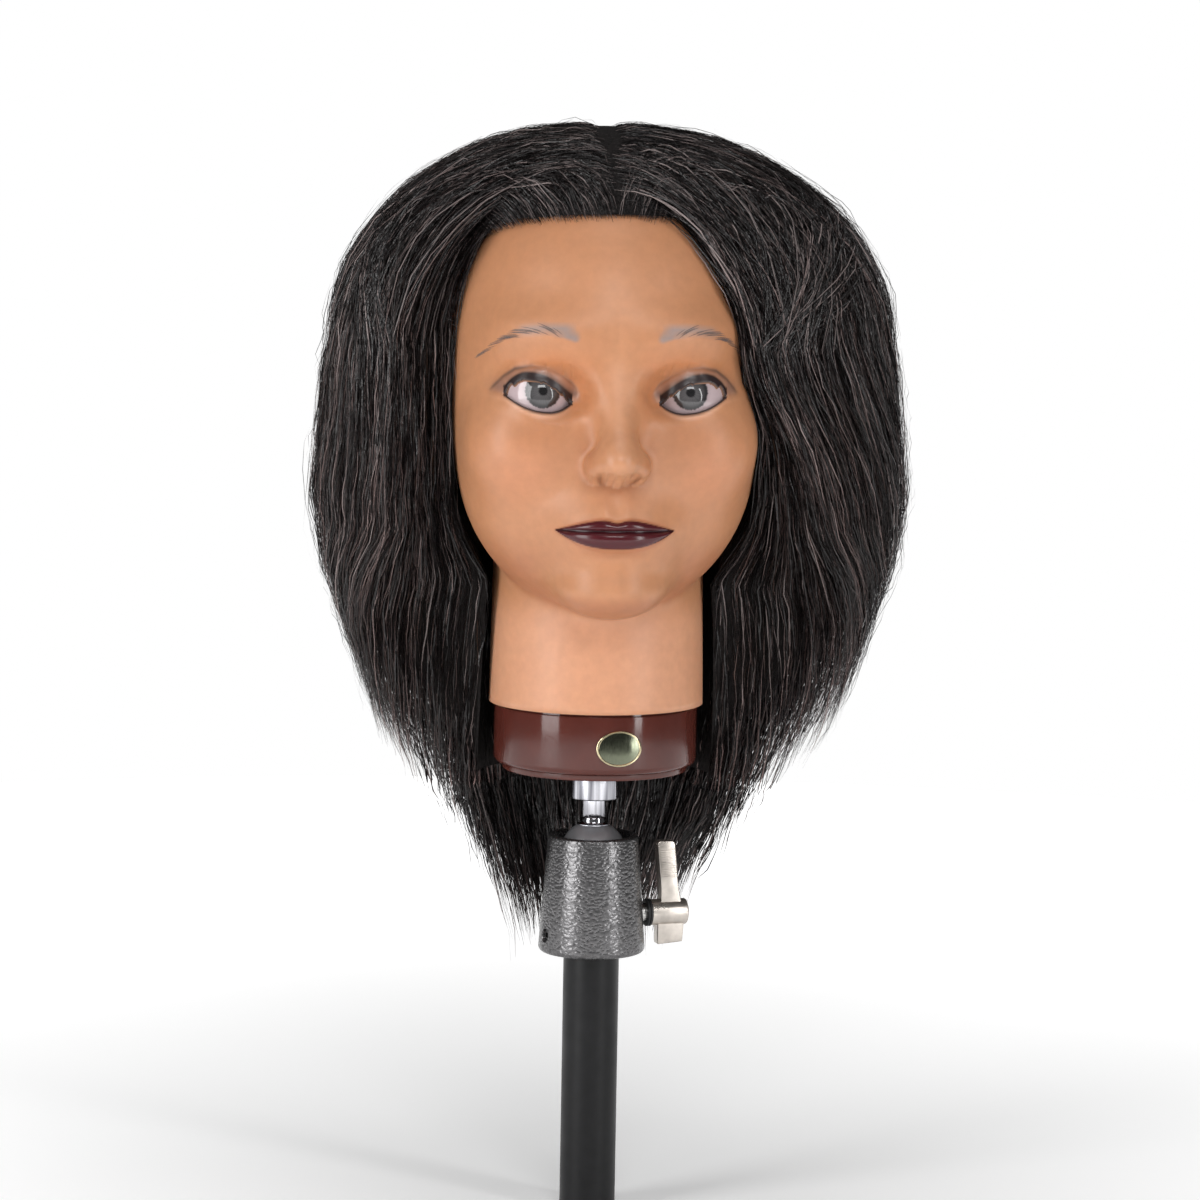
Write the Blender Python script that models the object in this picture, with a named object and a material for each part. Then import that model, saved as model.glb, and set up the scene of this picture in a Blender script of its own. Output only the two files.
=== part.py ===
"""Mannequin training head on a ball-joint holder and the top length of its stand pole.

Metres, +Z up, the face looks along -Y. The origin is on the pole's axis, at its lower end.
"""

import math

import bmesh
import bpy
import numpy as np
from mathutils import Matrix

MM = 0.001
GAP = 0.3 * MM  # between two pieces that touch
RUNNING = 0.3 * MM  # round a piece that slides or turns

# Pole and its two plugs
POLE_RADIUS = 12.7 * MM
POLE_WALL = 1.5 * MM
POLE_BELOW_HOUSING = 118.8 * MM
PLUG_FLANGE = 2.5 * MM
PLUG_DEPTH = 12.0 * MM
INSERT_LENGTH = 24.0 * MM

# Clamp housing
HOUSING_WALL = 3.6 * MM  # round the seats, at the rim
HOUSING_FLARE = 3.9 * MM  # lower edge's radius over the rim's
HOUSING_EDGE = 3.0 * MM
RIM_EDGE = 0.8 * MM
POLE_SOCKET_DEPTH = 11.7 * MM
LEVER_HEIGHT = 16.8 * MM  # lever axis above the housing's lower face
CUP_ABOVE_LEVER = 7.4 * MM  # lower seat's floor above the lever's axis
RIM_ABOVE_BALL = 8.8 * MM
SEAT_WALL = 1.4 * MM
LEVER_AZIMUTH = math.radians(12)
SLOT_AZIMUTH = math.radians(102)
SET_SCREW_AZIMUTH = math.radians(202)
SET_SCREW_HEIGHT = 8.7 * MM
SET_SCREW_RADIUS = 2.5 * MM
SET_SCREW_LENGTH = 10.0 * MM
SET_SCREW_SINK = 0.8 * MM
HEX_SOCKET_RADIUS = 1.45 * MM
HEX_SOCKET_DEPTH = 3.0 * MM

# Ball, its two seats and the wedge that lifts the lower one
BALL_RADIUS = 15.0 * MM
CUP_TOP_BELOW_CENTRE = 4.0 * MM
CUP_FLOOR = 6.0 * MM  # under the ball
CUP_BORE_RADIUS = 4.0 * MM
FOOT_RADIUS = 5.9 * MM
FOOT_BELOW_LEVER_AXIS = 2.2 * MM
RING_BOTTOM_ABOVE_CENTRE = 1.0 * MM
RING_TOP_ABOVE_CENTRE = 6.0 * MM
CLAMP_TRAVEL = 1.125 * MM
WEDGE_RADIUS = 3.5 * MM
WEDGE_LENGTH = 17.0 * MM
CLAMP_SCREW_RADIUS = 4.0 * MM
CLAMP_SCREW_IN_LEVER = 12.0 * MM

# Lever
WASHER_RADIUS = 6.3 * MM
WASHER_THICKNESS = 2.6 * MM
WASHER_STANDOFF = 1.6 * MM
BOSS_RADIUS = 6.0 * MM
BOSS_LENGTH = 17.4 * MM
ARM_WIDTH = 8.4 * MM
ARM_THICKNESS = 6.4 * MM
ARM_REACH = 33.3 * MM
ARM_TAPER_HEIGHT = 11.8 * MM
ARM_LEAN = math.radians(5.3)
ARM_FOOT_WIDTH = 11.0 * MM
TAIL_REACH = 14.6 * MM
TAIL_WIDTH = 13.0 * MM

# Stud and what holds it in the head
STUD_FOOT_RADIUS = 7.4 * MM
STUD_FOOT_EDGE = 1.2 * MM
STEM_RADIUS = 5.85 * MM
STEM_REACH = 25.5 * MM  # ball centre to the collar's lower face
COLLAR_SHOULDER = 0.9 * MM  # collar's edge past the socket's bore, under the head
COLLAR_LENGTH = 13.5 * MM
COLLAR_EDGE = 0.7 * MM
SPIGOT_RADIUS = 7.0 * MM
SPIGOT_LENGTH = 65.0 * MM
SLEEVE_WALL = 3.2 * MM
WASHER_OVERHANG = 2.5 * MM
SLEEVE_WASHER_THICKNESS = 2.0 * MM
SLEEVE_SCREW_RADIUS = 3.0 * MM
SLEEVE_SCREW_LENGTH = 16.0 * MM
SLEEVE_SCREW_HEAD = 4.0 * MM
SOCKET_WALL = 2.5 * MM
SOCKET_HEADROOM = 10.0 * MM

# Neck base
PLATE_STEP = 4.0 * MM  # plate's edge inside the base's
PLATE_THICKNESS = 2.6 * MM
NECK_OVERHANG = 2.6 * MM  # neck's edge past the base's
NECK_TRIM = 4.1 * MM  # neck's edge above the level that head heights start from
BASE_HEIGHT = 27.5 * MM
BASE_WALL = 3.3 * MM
BASE_FLOOR = 3.0 * MM
BASE_EDGE = 3.5 * MM
BASE_SCREWS = 3
BASE_SCREW_CIRCLE = 30.0 * MM
BASE_SCREW_RADIUS = 1.8 * MM
BASE_SCREW_HEAD_RADIUS = 3.6 * MM
BASE_SCREW_LENGTH = 16.0 * MM
BADGE_WIDTH = 20.5 * MM
BADGE_HEIGHT = 16.0 * MM
BADGE_THICKNESS = 0.8 * MM
BADGE_ABOVE_BASE = 12.4 * MM
BADGE_AZIMUTH = math.radians(-90 + 9)

# Head, its heights measured from the neck's lower edge
NECK_RADIUS = 48.6 * MM
NECK_TAPER = 1.6 * MM
SKIN_THICKNESS = 3.0 * MM
CORE_GAP = 2.0 * MM
SKULL_HALF_WIDTH = 74.0 * MM
SKULL_HALF_LENGTH = 91.0 * MM
SKULL_HALF_HEIGHT = 92.0 * MM
SKULL_CENTRE_HEIGHT = 167.0 * MM
FACE_HALF_WIDTH = 67.0 * MM
FACE_HALF_HEIGHT = 75.0 * MM
FACE_DEPTH = 60.0 * MM
FACE_CENTRE_HEIGHT = 122.0 * MM
FACE_CENTRE_Y = -30.0 * MM
JAW_FAN_HEIGHT = 100.0 * MM
CROWN_FAN_HEIGHT = 170.0 * MM
EYE_SPACING = 64.0 * MM
EYE_HEIGHT = 148.0 * MM
EYE_FRONT_Y = -84.0 * MM
EYEBALL_RADIUS = 17.0 * MM
LID_THICKNESS = 1.5 * MM
EYE_HALF_WIDTH = 14.5 * MM
EYE_UPPER_OPENING = 6.2 * MM
EYE_LOWER_OPENING = 6.0 * MM

# Hair, its heights measured from the neck's lower edge
SCALP_GAP = 2.0 * MM
HAIR_ROW_STEP = 8.0 * MM  # how far the hair looks up and down for the jaw's edge
HAIR_MIN_THICKNESS = 4.0 * MM
HAIR_SHIFT = 5.0 * MM
HAIR_TOP = 96.0 * MM  # above the crown fan's centre
HAIR_FRONT = 94.0 * MM
HAIR_NECK_GAP = 3.4 * MM
HAIRLINE_ELEVATION = math.radians(36)
FACE_HALF_ANGLE = math.radians(51)
HAIRLINE_HALF_ANGLE = math.radians(38)
NECK_HALF_ANGLE = math.radians(76)
BACK_HALF_ANGLE = math.radians(55)
SECTION_GAP = math.radians(0.8)
TIPS_GAP = 0.6 * MM
SIDE_HAIR_BOTTOM = -32.0 * MM
BACK_HAIR_BOTTOM = -37.0 * MM
TIPS_BOTTOM = -105.0 * MM
TIPS_TOP_THICKNESS = 30.0 * MM
TIPS_END_THICKNESS = 9.0 * MM
TIPS_TOP_ANGLE = math.radians(68)
TIPS_END_ANGLE = math.radians(36)
# height, half width, reach to the front, reach to the back
HAIR_OUTLINE = np.array([
    (-37, 73, 42, 85),
    (-9, 100, 56, 100),
    (16, 115, 63, 110),
    (48, 127, 69, 117),
    (100, 135, 75, 122),
    (156, 130, 82, 120),
    (170, 127, 86, 118),
]) * MM

ROUND = 28  # sides of a turned piece
SMALL_ROUND = 14

# Radii and levels that follow from the sizes above
SEAT_SPHERE = BALL_RADIUS + GAP
SEAT_RADIUS = SEAT_SPHERE + SEAT_WALL
CHAMBER_RADIUS = SEAT_RADIUS + GAP
HOUSING_TOP_RADIUS = CHAMBER_RADIUS + HOUSING_WALL
HOUSING_BOTTOM_RADIUS = HOUSING_TOP_RADIUS + HOUSING_FLARE
CUP_BOTTOM_BELOW_CENTRE = BALL_RADIUS + CUP_FLOOR
BALL_HEIGHT = LEVER_HEIGHT + CUP_ABOVE_LEVER + CUP_BOTTOM_BELOW_CENTRE
BASE_RADIUS = NECK_RADIUS - NECK_OVERHANG
PLATE_RADIUS = BASE_RADIUS - PLATE_STEP
LID_RADIUS = EYEBALL_RADIUS + LID_THICKNESS
EYE_Y = EYE_FRONT_Y + EYEBALL_RADIUS
HAIR_NECK_RADIUS = NECK_RADIUS + HAIR_NECK_GAP
HOUSING_BOTTOM = POLE_BELOW_HOUSING
LEVER_Z = HOUSING_BOTTOM + LEVER_HEIGHT
BALL_Z = HOUSING_BOTTOM + BALL_HEIGHT
HOUSING_TOP = BALL_Z + RIM_ABOVE_BALL
POLE_TOP = HOUSING_BOTTOM + POLE_SOCKET_DEPTH - GAP
CUP_BOTTOM = BALL_Z - CUP_BOTTOM_BELOW_CENTRE
CHAMBER_FLOOR = CUP_BOTTOM - CLAMP_TRAVEL - 2 * GAP
FOOT_BOTTOM = LEVER_Z - FOOT_BELOW_LEVER_AXIS
FOOT_BORE_FLOOR = FOOT_BOTTOM - CLAMP_TRAVEL - 2 * GAP
SLOT_HALF_WIDTH = STUD_FOOT_RADIUS + 0.5 * MM
COLLAR_BOTTOM = BALL_Z + STEM_REACH
COLLAR_TOP = COLLAR_BOTTOM + COLLAR_LENGTH
SLEEVE_RADIUS = SPIGOT_RADIUS + GAP + SLEEVE_WALL
SOCKET_BORE = SLEEVE_RADIUS + RUNNING
SOCKET_RADIUS = SOCKET_BORE + SOCKET_WALL
COLLAR_RADIUS = SOCKET_BORE + COLLAR_SHOULDER
PLATE_BOTTOM = COLLAR_TOP + GAP
BASE_BOTTOM = PLATE_BOTTOM + PLATE_THICKNESS + GAP
BASE_TOP = BASE_BOTTOM + BASE_HEIGHT
NECK_EDGE = BASE_TOP + GAP
HEAD_DATUM = NECK_EDGE - NECK_TRIM
SPIGOT_TOP = COLLAR_TOP + SPIGOT_LENGTH
SLEEVE_WASHER_BOTTOM = SPIGOT_TOP + GAP
SLEEVE_SCREW_SEAT = SLEEVE_WASHER_BOTTOM + SLEEVE_WASHER_THICKNESS + GAP
SOCKET_TOP = SLEEVE_SCREW_SEAT + SLEEVE_SCREW_HEAD + SOCKET_HEADROOM
WASHER_INNER_FACE = HOUSING_BOTTOM_RADIUS + WASHER_STANDOFF - HOUSING_EDGE / 4
BOSS_INNER_FACE = WASHER_INNER_FACE + WASHER_THICKNESS + GAP
CLAMP_SCREW_INNER_END = WEDGE_LENGTH - WEDGE_RADIUS + GAP
CLAMP_SCREW_OUTER_END = BOSS_INNER_FACE + CLAMP_SCREW_IN_LEVER


# Scene helpers

def clear_scene():
    for obj in list(bpy.data.objects):
        bpy.data.objects.remove(obj, do_unlink=True)


def material(name, colour, roughness, metallic=0.0):
    mat = bpy.data.materials.get(name) or bpy.data.materials.new(name)
    mat.use_nodes = True
    shader = mat.node_tree.nodes["Principled BSDF"]
    shader.inputs["Base Color"].default_value = (*colour, 1.0)
    shader.inputs["Roughness"].default_value = roughness
    shader.inputs["Metallic"].default_value = metallic
    return mat


def finish_mesh(name, bm, mat=None, merge=1e-6):
    bmesh.ops.remove_doubles(bm, verts=bm.verts[:], dist=merge)
    bmesh.ops.dissolve_degenerate(bm, edges=bm.edges[:], dist=merge)
    wires = [edge for edge in bm.edges if not edge.link_faces]
    bmesh.ops.delete(bm, geom=wires, context="EDGES")
    bmesh.ops.recalc_face_normals(bm, faces=bm.faces[:])
    mesh = bpy.data.meshes.new(name)
    bm.to_mesh(mesh)
    bm.free()
    mesh.shade_smooth()
    mesh.set_sharp_from_angle(angle=math.radians(35))
    obj = bpy.data.objects.new(name, mesh)
    bpy.context.scene.collection.objects.link(obj)
    if mat:
        mesh.materials.append(mat)
    return obj


def turned(name, profile, mat=None, sides=ROUND):
    """A closed profile of (radius, height) points, spun about local Z."""
    bm = bmesh.new()
    points = [bm.verts.new((radius, 0.0, height)) for radius, height in profile]
    edges = [bm.edges.new((a, b)) for a, b in zip(points, points[1:] + points[:1])]
    bmesh.ops.spin(bm, geom=points + edges, cent=(0, 0, 0), axis=(0, 0, 1),
                   angle=2 * math.pi, steps=sides, use_merge=True)
    return finish_mesh(name, bm, mat)


def disc_profile(radius, bottom, top):
    return [(0, bottom), (radius, bottom), (radius, top), (0, top)]


def tube_profile(inner, outer, bottom, top):
    return [(inner, bottom), (outer, bottom), (outer, top), (inner, top)]


def arc(centre_r, centre_z, radius, start, end, steps):
    """Points on an arc in the (radius, height) half-plane, its angles in degrees."""
    angles = np.radians(np.linspace(start, end, steps + 1))
    return [(centre_r + radius * math.cos(a), centre_z + radius * math.sin(a)) for a in angles]


def extruded(name, outline, low, high, mat=None):
    """An outline in local XZ, extruded along local Y."""
    bm = bmesh.new()
    face = bm.faces.new([bm.verts.new((x, low, z)) for x, z in outline])
    sweep = bmesh.ops.extrude_face_region(bm, geom=[face])
    moved = [item for item in sweep["geom"] if isinstance(item, bmesh.types.BMVert)]
    bmesh.ops.translate(bm, verts=moved, vec=(0, high - low, 0))
    return finish_mesh(name, bm, mat)


def as_cutter(obj):
    obj.hide_render = True
    obj.display_type = "WIRE"
    return obj


def boolean(obj, other, operation="DIFFERENCE"):
    modifier = obj.modifiers.new(f"{operation.lower()} {other.name}", "BOOLEAN")
    modifier.operation = operation
    modifier.object = other
    modifier.solver = "EXACT"


def empty(name, height, azimuth=0.0):
    """An empty on the pole's axis, its X turned to an azimuth."""
    holder = bpy.data.objects.new(name, None)
    bpy.context.scene.collection.objects.link(holder)
    holder.location = (0, 0, height)
    holder.rotation_euler = (0, 0, azimuth)
    return holder


def along_x(obj, parent):
    """Parents a piece so that its local Z lies along the parent's X."""
    obj.parent = parent
    obj.rotation_euler = (0, math.pi / 2, 0)
    return obj


# Head surface: every point is where a ray from inside the head meets a smooth field

def ellipsoid(points, centre, radii):
    scaled = (points - centre) / radii
    near = np.linalg.norm(scaled, axis=-1)
    slope = np.linalg.norm(scaled / radii, axis=-1)
    return near * (near - 1) / np.maximum(slope, 1e-9)


def blend(first, second, width):
    share = np.clip(0.5 + 0.5 * (second - first) / width, 0, 1)
    return second * (1 - share) + first * share - width * share * (1 - share)


def carve(shape, hollow, width):
    return -blend(-shape, hollow, width)


def mirrored_x(points):
    return np.stack([np.abs(points[..., 0]), points[..., 1], points[..., 2]], axis=-1)


def skull_centre():
    return np.array([0, -1 * MM, SKULL_CENTRE_HEIGHT])


def plain_head(points):
    """Skull, face, jaw, neck and eye sockets; heights from the neck's lower edge."""
    skull = ellipsoid(points, skull_centre(),
                      np.array([SKULL_HALF_WIDTH, SKULL_HALF_LENGTH, SKULL_HALF_HEIGHT]))
    face_centre = np.array([0, FACE_CENTRE_Y, FACE_CENTRE_HEIGHT])
    face = ellipsoid(points, face_centre, np.array([FACE_HALF_WIDTH, FACE_DEPTH, FACE_HALF_HEIGHT]))
    across = np.hypot(points[..., 0], points[..., 1])
    neck_top = FACE_CENTRE_HEIGHT - 20 * MM
    taper = np.clip(points[..., 2] / neck_top, 0, 1) * NECK_TAPER
    neck = np.maximum(across - NECK_RADIUS + taper, points[..., 2] - neck_top)
    whole = blend(blend(skull, face, 14 * MM), neck, 5 * MM)
    socket = np.array([EYE_SPACING / 2 - 4 * MM, EYE_Y - 29 * MM, EYE_HEIGHT + 2 * MM])
    hollow = ellipsoid(mirrored_x(points), socket, np.array([18, 20, 13]) * MM)
    return carve(whole, hollow, 6 * MM)


def face_point(x, y, above_chin_line):
    """A feature's centre, kept in place on the face when the face's depth changes."""
    front = FACE_CENTRE_Y - FACE_DEPTH
    return np.array([x * MM, front + y * MM, FACE_CENTRE_HEIGHT + above_chin_line * MM])


def featured_head(points):
    """The plain head with chin, lips, cheeks, brow, nose and eye recesses."""
    half = mirrored_x(points)
    shape = plain_head(points)
    chin = ellipsoid(points, face_point(0, 21, -58), np.array([25, 25, 16]) * MM)
    shape = blend(shape, chin, 12 * MM)
    muzzle = ellipsoid(points, face_point(0, 26, -31), np.array([31, 34, 25]) * MM)
    shape = blend(shape, muzzle, 10 * MM)
    cheek = ellipsoid(half, face_point(40, 29, 4), np.array([22, 22, 22]) * MM)
    shape = blend(shape, cheek, 14 * MM)
    brow = ellipsoid(half, face_point(20, 30, 54), np.array([32, 30, 12]) * MM)
    shape = blend(shape, brow, 12 * MM)
    bridge = ellipsoid(points, face_point(0, -4, 20), np.array([8, 16, 30]) * MM)
    shape = blend(shape, bridge, 9 * MM)
    tip = ellipsoid(points, face_point(0, -15, 0), np.array([10, 11, 9]) * MM)
    shape = blend(shape, tip, 8 * MM)
    wing = ellipsoid(half, face_point(12, -3, -3), np.array([5.5, 9, 6.5]) * MM)
    shape = blend(shape, wing, 4 * MM)
    lips = ellipsoid(points, face_point(0, 1, -33.5), np.array([23, 12, 6]) * MM)
    shape = blend(shape, lips, 3 * MM)
    return eye_recess(shape, half)


def eye_recess(shape, half):
    """Lids bulge over the eyeball, and an almond between them lies behind its surface."""
    centre = np.array([EYE_SPACING / 2, EYE_Y, EYE_HEIGHT])
    offset = half - centre
    ball = np.linalg.norm(offset, axis=-1)
    shape = blend(shape, ball - LID_RADIUS, 4 * MM)
    reach = np.clip(1 - (offset[..., 0] / EYE_HALF_WIDTH) ** 2, 0, 1)
    opening = np.where(offset[..., 2] > 0, EYE_UPPER_OPENING, EYE_LOWER_OPENING) * reach
    inside = (np.abs(offset[..., 2]) < opening) & (offset[..., 1] < 0)
    recessed = np.maximum(shape, ball - EYEBALL_RADIUS + 1.5 * MM)
    return np.where(inside, recessed, shape)


def distance_along(rays, field, level=0.0):
    """How far each ray runs before it leaves the field for good."""
    origins, directions = rays
    steps = np.linspace(0.17, 0.02, 76)
    low = np.full(len(origins), steps[-1])
    high = np.full(len(origins), steps[0])
    open_rays = np.ones(len(origins), bool)
    for outer, inner in zip(steps, steps[1:]):
        points = origins + directions * inner
        entered = open_rays & (field(points) < level)
        low[entered], high[entered] = inner, outer
        open_rays &= ~entered
    for _ in range(14):
        middle = (low + high) / 2
        outside = field(origins + directions * middle[:, None]) >= level
        high = np.where(outside, middle, high)
        low = np.where(outside, low, middle)
    return (low + high) / 2


def rays_for(azimuths, heights, elevations):
    """A grid of rays: azimuth 0 is the front, each row with its own origin height and slope."""
    azimuth, height = np.meshgrid(azimuths, heights)
    _, elevation = np.meshgrid(azimuths, elevations)
    origins = np.stack([0 * height, 0 * height, height], axis=-1)
    directions = np.stack([
        np.sin(azimuth) * np.cos(elevation),
        -np.cos(azimuth) * np.cos(elevation),
        np.sin(elevation),
    ], axis=-1)
    return origins.reshape(-1, 3), directions.reshape(-1, 3)


def head_rows(jaw_step, mid_rows, crown_rows):
    """Origin heights and slopes of the head's rows, from the neck's edge to below the crown."""
    neck = np.linspace(NECK_TRIM, 42 * MM, 4)
    jaw = np.radians(np.arange(-50, -0.5, jaw_step))
    middle = np.linspace(JAW_FAN_HEIGHT, CROWN_FAN_HEIGHT, mid_rows)
    crown = np.linspace(0, math.pi / 2, crown_rows + 1)[1:-1]
    heights = np.concatenate([neck, np.full(len(jaw), JAW_FAN_HEIGHT), middle,
                              np.full(len(crown), CROWN_FAN_HEIGHT)])
    slopes = np.concatenate([0 * neck, jaw, 0 * middle, crown])
    return heights, slopes


def head_columns(front_step, back_step):
    """Azimuths all round, closer together across the face."""
    front = np.arange(-54, 54, front_step)
    back = np.linspace(54, 306, int(round(252 / back_step)) + 1)[:-1]
    return np.radians(np.concatenate([front, back]))


def surface_grid(azimuths, rows, field, level=0.0):
    rays = rays_for(azimuths, *rows)
    reach = distance_along(rays, field, level)
    points = rays[0] + rays[1] * reach[:, None]
    points[:, 2] += HEAD_DATUM
    return points.reshape(len(rows[0]), len(azimuths), 3)


def crown_point(field, level=0.0):
    ray = (np.array([[0, 0, CROWN_FAN_HEIGHT]]), np.array([[0, 0, 1.0]]))
    reach = distance_along(ray, field, level)
    return (0.0, 0.0, float(CROWN_FAN_HEIGHT + reach[0] + HEAD_DATUM))


def add_ring(bm, points):
    return [bm.verts.new(p) for p in points]


def join_rings(bm, lower, upper, closed=True):
    """Quads between two rows; the lower may have a whole number of points per upper one."""
    ratio = len(lower) // len(upper)
    count = len(upper) if closed else len(upper) - 1
    for i in range(count):
        after = (i + 1) % len(upper)
        fan = [lower[(i * ratio + k) % len(lower)] for k in range(ratio + 1)]
        bm.faces.new([*fan, upper[after], upper[i]])


def add_cap(bm, ring, centre):
    tip = bm.verts.new(centre)
    for a, b in zip(ring, ring[1:] + ring[:1]):
        bm.faces.new((a, b, tip))


def add_shell(bm, grid, top):
    rings = [add_ring(bm, row) for row in grid]
    for lower, upper in zip(rings, rings[1:]):
        join_rings(bm, lower, upper)
    add_cap(bm, rings[-1], top)
    return rings[0]


def inner_surface(level):
    azimuths = head_columns(12, 25.2)
    rows = head_rows(10, 11, 6)
    return surface_grid(azimuths, rows, plain_head, level), crown_point(plain_head, level)


def eye_cutter(name, side, clearance):
    bm = bmesh.new()
    place = Matrix.Translation((side * EYE_SPACING / 2, EYE_Y, HEAD_DATUM + EYE_HEIGHT))
    bmesh.ops.create_uvsphere(bm, u_segments=18, v_segments=10,
                              radius=EYEBALL_RADIUS + clearance, matrix=place)
    return finish_mesh(name, bm)


def make_head_skin():
    bm = bmesh.new()
    outer = surface_grid(head_columns(6, 12.6), head_rows(5, 11, 9), featured_head)
    outer_ring = add_shell(bm, outer, crown_point(featured_head))
    inner, inner_top = inner_surface(-SKIN_THICKNESS)
    inner_ring = add_shell(bm, inner, inner_top)
    join_rings(bm, outer_ring, inner_ring)
    skin = finish_mesh("head_skin", bm, material("vinyl_skin", (0.72, 0.40, 0.25), 0.45))
    for side, label in ((-1, "left"), (1, "right")):
        boolean(skin, as_cutter(eye_cutter(f"{label}_eye_opening", side, GAP)))


def make_head_core():
    bm = bmesh.new()
    core, top = inner_surface(-SKIN_THICKNESS - CORE_GAP)
    shoulder_ring = add_shell(bm, core, top)
    tenon = BASE_RADIUS - BASE_WALL - GAP
    around = head_columns(12, 25.2)
    levels = (NECK_EDGE, BASE_BOTTOM + BASE_FLOOR + GAP)
    rings = [shoulder_ring]
    for level in levels:
        rings.append(add_ring(bm, [(tenon * math.sin(a), -tenon * math.cos(a), level) for a in around]))
    for upper, lower in zip(rings, rings[1:]):
        join_rings(bm, lower, upper)
    add_cap(bm, rings[-1], (0, 0, levels[-1]))
    foam = finish_mesh("head_core", bm, material("rigid_foam", (0.82, 0.74, 0.55), 0.9))
    for side, label in ((-1, "left"), (1, "right")):
        boolean(foam, bpy.data.objects[f"{label}_eye_opening"])
    bore = turned("socket_bore", disc_profile(SOCKET_RADIUS + GAP, PLATE_BOTTOM, SOCKET_TOP + GAP))
    boolean(foam, as_cutter(bore))
    for cutter in screw_cutters():
        boolean(foam, cutter)


def make_eyes():
    glaze = material("eye_gloss", (0.62, 0.55, 0.52), 0.08)
    for side, label in ((-1, "left"), (1, "right")):
        eye = eye_cutter(f"eye_{label}", side, 0.0)
        eye.data.materials.append(glaze)


# Hair: thick closed sections round the scalp

def hair_reach(height, azimuths):
    """Outer radius of the hair at one level, for each azimuth."""
    width, front, back = (np.interp(height, HAIR_OUTLINE[:, 0], HAIR_OUTLINE[:, k]) for k in (1, 2, 3))
    sine, cosine = np.sin(azimuths), np.cos(azimuths)
    sideways = width + HAIR_SHIFT * sine
    depth = np.where(cosine > 0, front, back)
    return 1 / np.sqrt((sine / sideways) ** 2 + (cosine / depth) ** 2)


def crown_reach(elevation, azimuths):
    """Outer distance from the crown fan's centre at one slope."""
    base = np.array([hair_reach(CROWN_FAN_HEIGHT, azimuths)])
    widened = np.where(np.cos(azimuths) > 0, np.maximum(base, HAIR_FRONT), base)
    return (1 / np.sqrt((math.cos(elevation) / widened) ** 2 + (math.sin(elevation) / HAIR_TOP) ** 2))[0]


def hair_row(azimuths, height, slope):
    """Inner and outer points of one row of a hair section."""
    rays = rays_for(azimuths, [height], [slope])
    inner = distance_along(rays, featured_head) + SCALP_GAP
    if height < JAW_FAN_HEIGHT + HAIR_ROW_STEP:
        for nearby in (height - HAIR_ROW_STEP, height + HAIR_ROW_STEP):
            beside = rays_for(azimuths, [nearby], [slope])
            inner = np.maximum(inner, distance_along(beside, featured_head) + SCALP_GAP)
        inner = np.maximum(inner, HAIR_NECK_RADIUS)
    outer = crown_reach(slope, azimuths) if slope > 0 else hair_reach(height, azimuths)
    outer = np.maximum(outer, inner + HAIR_MIN_THICKNESS)
    lift = np.array([0, 0, HEAD_DATUM])
    return [rays[0] + rays[1] * reach[:, None] + lift for reach in (inner, outer)]


def thick_section(name, rows, mat):
    """One closed body between inner and outer rows of points."""
    bm = bmesh.new()
    inner = [add_ring(bm, row[0]) for row in rows]
    outer = [add_ring(bm, row[1]) for row in rows]
    for grid in (inner, outer):
        for lower, upper in zip(grid, grid[1:]):
            join_rings(bm, lower, upper, closed=False)
    for edge in (0, -1):
        join_rings(bm, inner[edge], outer[edge], closed=False)
        join_rings(bm, [row[edge] for row in inner], [row[edge] for row in outer], closed=False)
    return finish_mesh(name, bm, mat)


def side_front_angle(height, slope):
    """Where the side hair's front edge runs: beside the neck, the face, then the hairline."""
    beside_jaw = np.clip((height - 55 * MM) / (50 * MM), 0, 1)
    angle = NECK_HALF_ANGLE + (FACE_HALF_ANGLE - NECK_HALF_ANGLE) * beside_jaw
    rise = (slope / HAIRLINE_ELEVATION) ** 2
    return angle + (HAIRLINE_HALF_ANGLE - FACE_HALF_ANGLE) * rise


def section_levels(bottom, slope_end):
    heights = [bottom, *np.linspace(bottom, CROWN_FAN_HEIGHT, 14)[1:]]
    slopes = list(np.linspace(0, slope_end, 5)[1:])
    return [(h, 0.0) for h in heights] + [(CROWN_FAN_HEIGHT, s) for s in slopes]


def make_side_hair(label, side, mat):
    rows = []
    for height, slope in section_levels(SIDE_HAIR_BOTTOM, HAIRLINE_ELEVATION):
        start = side_front_angle(height, slope)
        azimuths = side * np.linspace(start, math.pi - BACK_HALF_ANGLE - SECTION_GAP, 10)
        rows.append(hair_row(azimuths, height, slope))
    thick_section(f"hair_{label}", rows, mat)


def make_back_hair(mat):
    azimuths = math.pi + np.linspace(-BACK_HALF_ANGLE, BACK_HALF_ANGLE, 12)
    levels = section_levels(BACK_HAIR_BOTTOM, HAIRLINE_ELEVATION)
    thick_section("hair_back", [hair_row(azimuths, h, s) for h, s in levels], mat)


def make_crown_hair(mat):
    azimuths = np.radians(np.arange(0, 360, 10))
    start = HAIRLINE_ELEVATION + SECTION_GAP
    slopes = np.linspace(start, math.pi / 2, 7)[:-1]
    bm = bmesh.new()
    rims = []
    for layer, top in ((0, crown_point(featured_head)[2] + SCALP_GAP),
                       (1, HEAD_DATUM + CROWN_FAN_HEIGHT + HAIR_TOP)):
        grid = [hair_row(azimuths, CROWN_FAN_HEIGHT, s)[layer] for s in slopes]
        lowest = crown_point(featured_head)[2] + SCALP_GAP + layer * HAIR_MIN_THICKNESS
        rims.append(add_shell(bm, grid, (0, 0, max(top, lowest))))
    join_rings(bm, rims[0], rims[1])
    finish_mesh("hair_crown", bm, mat)


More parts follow.
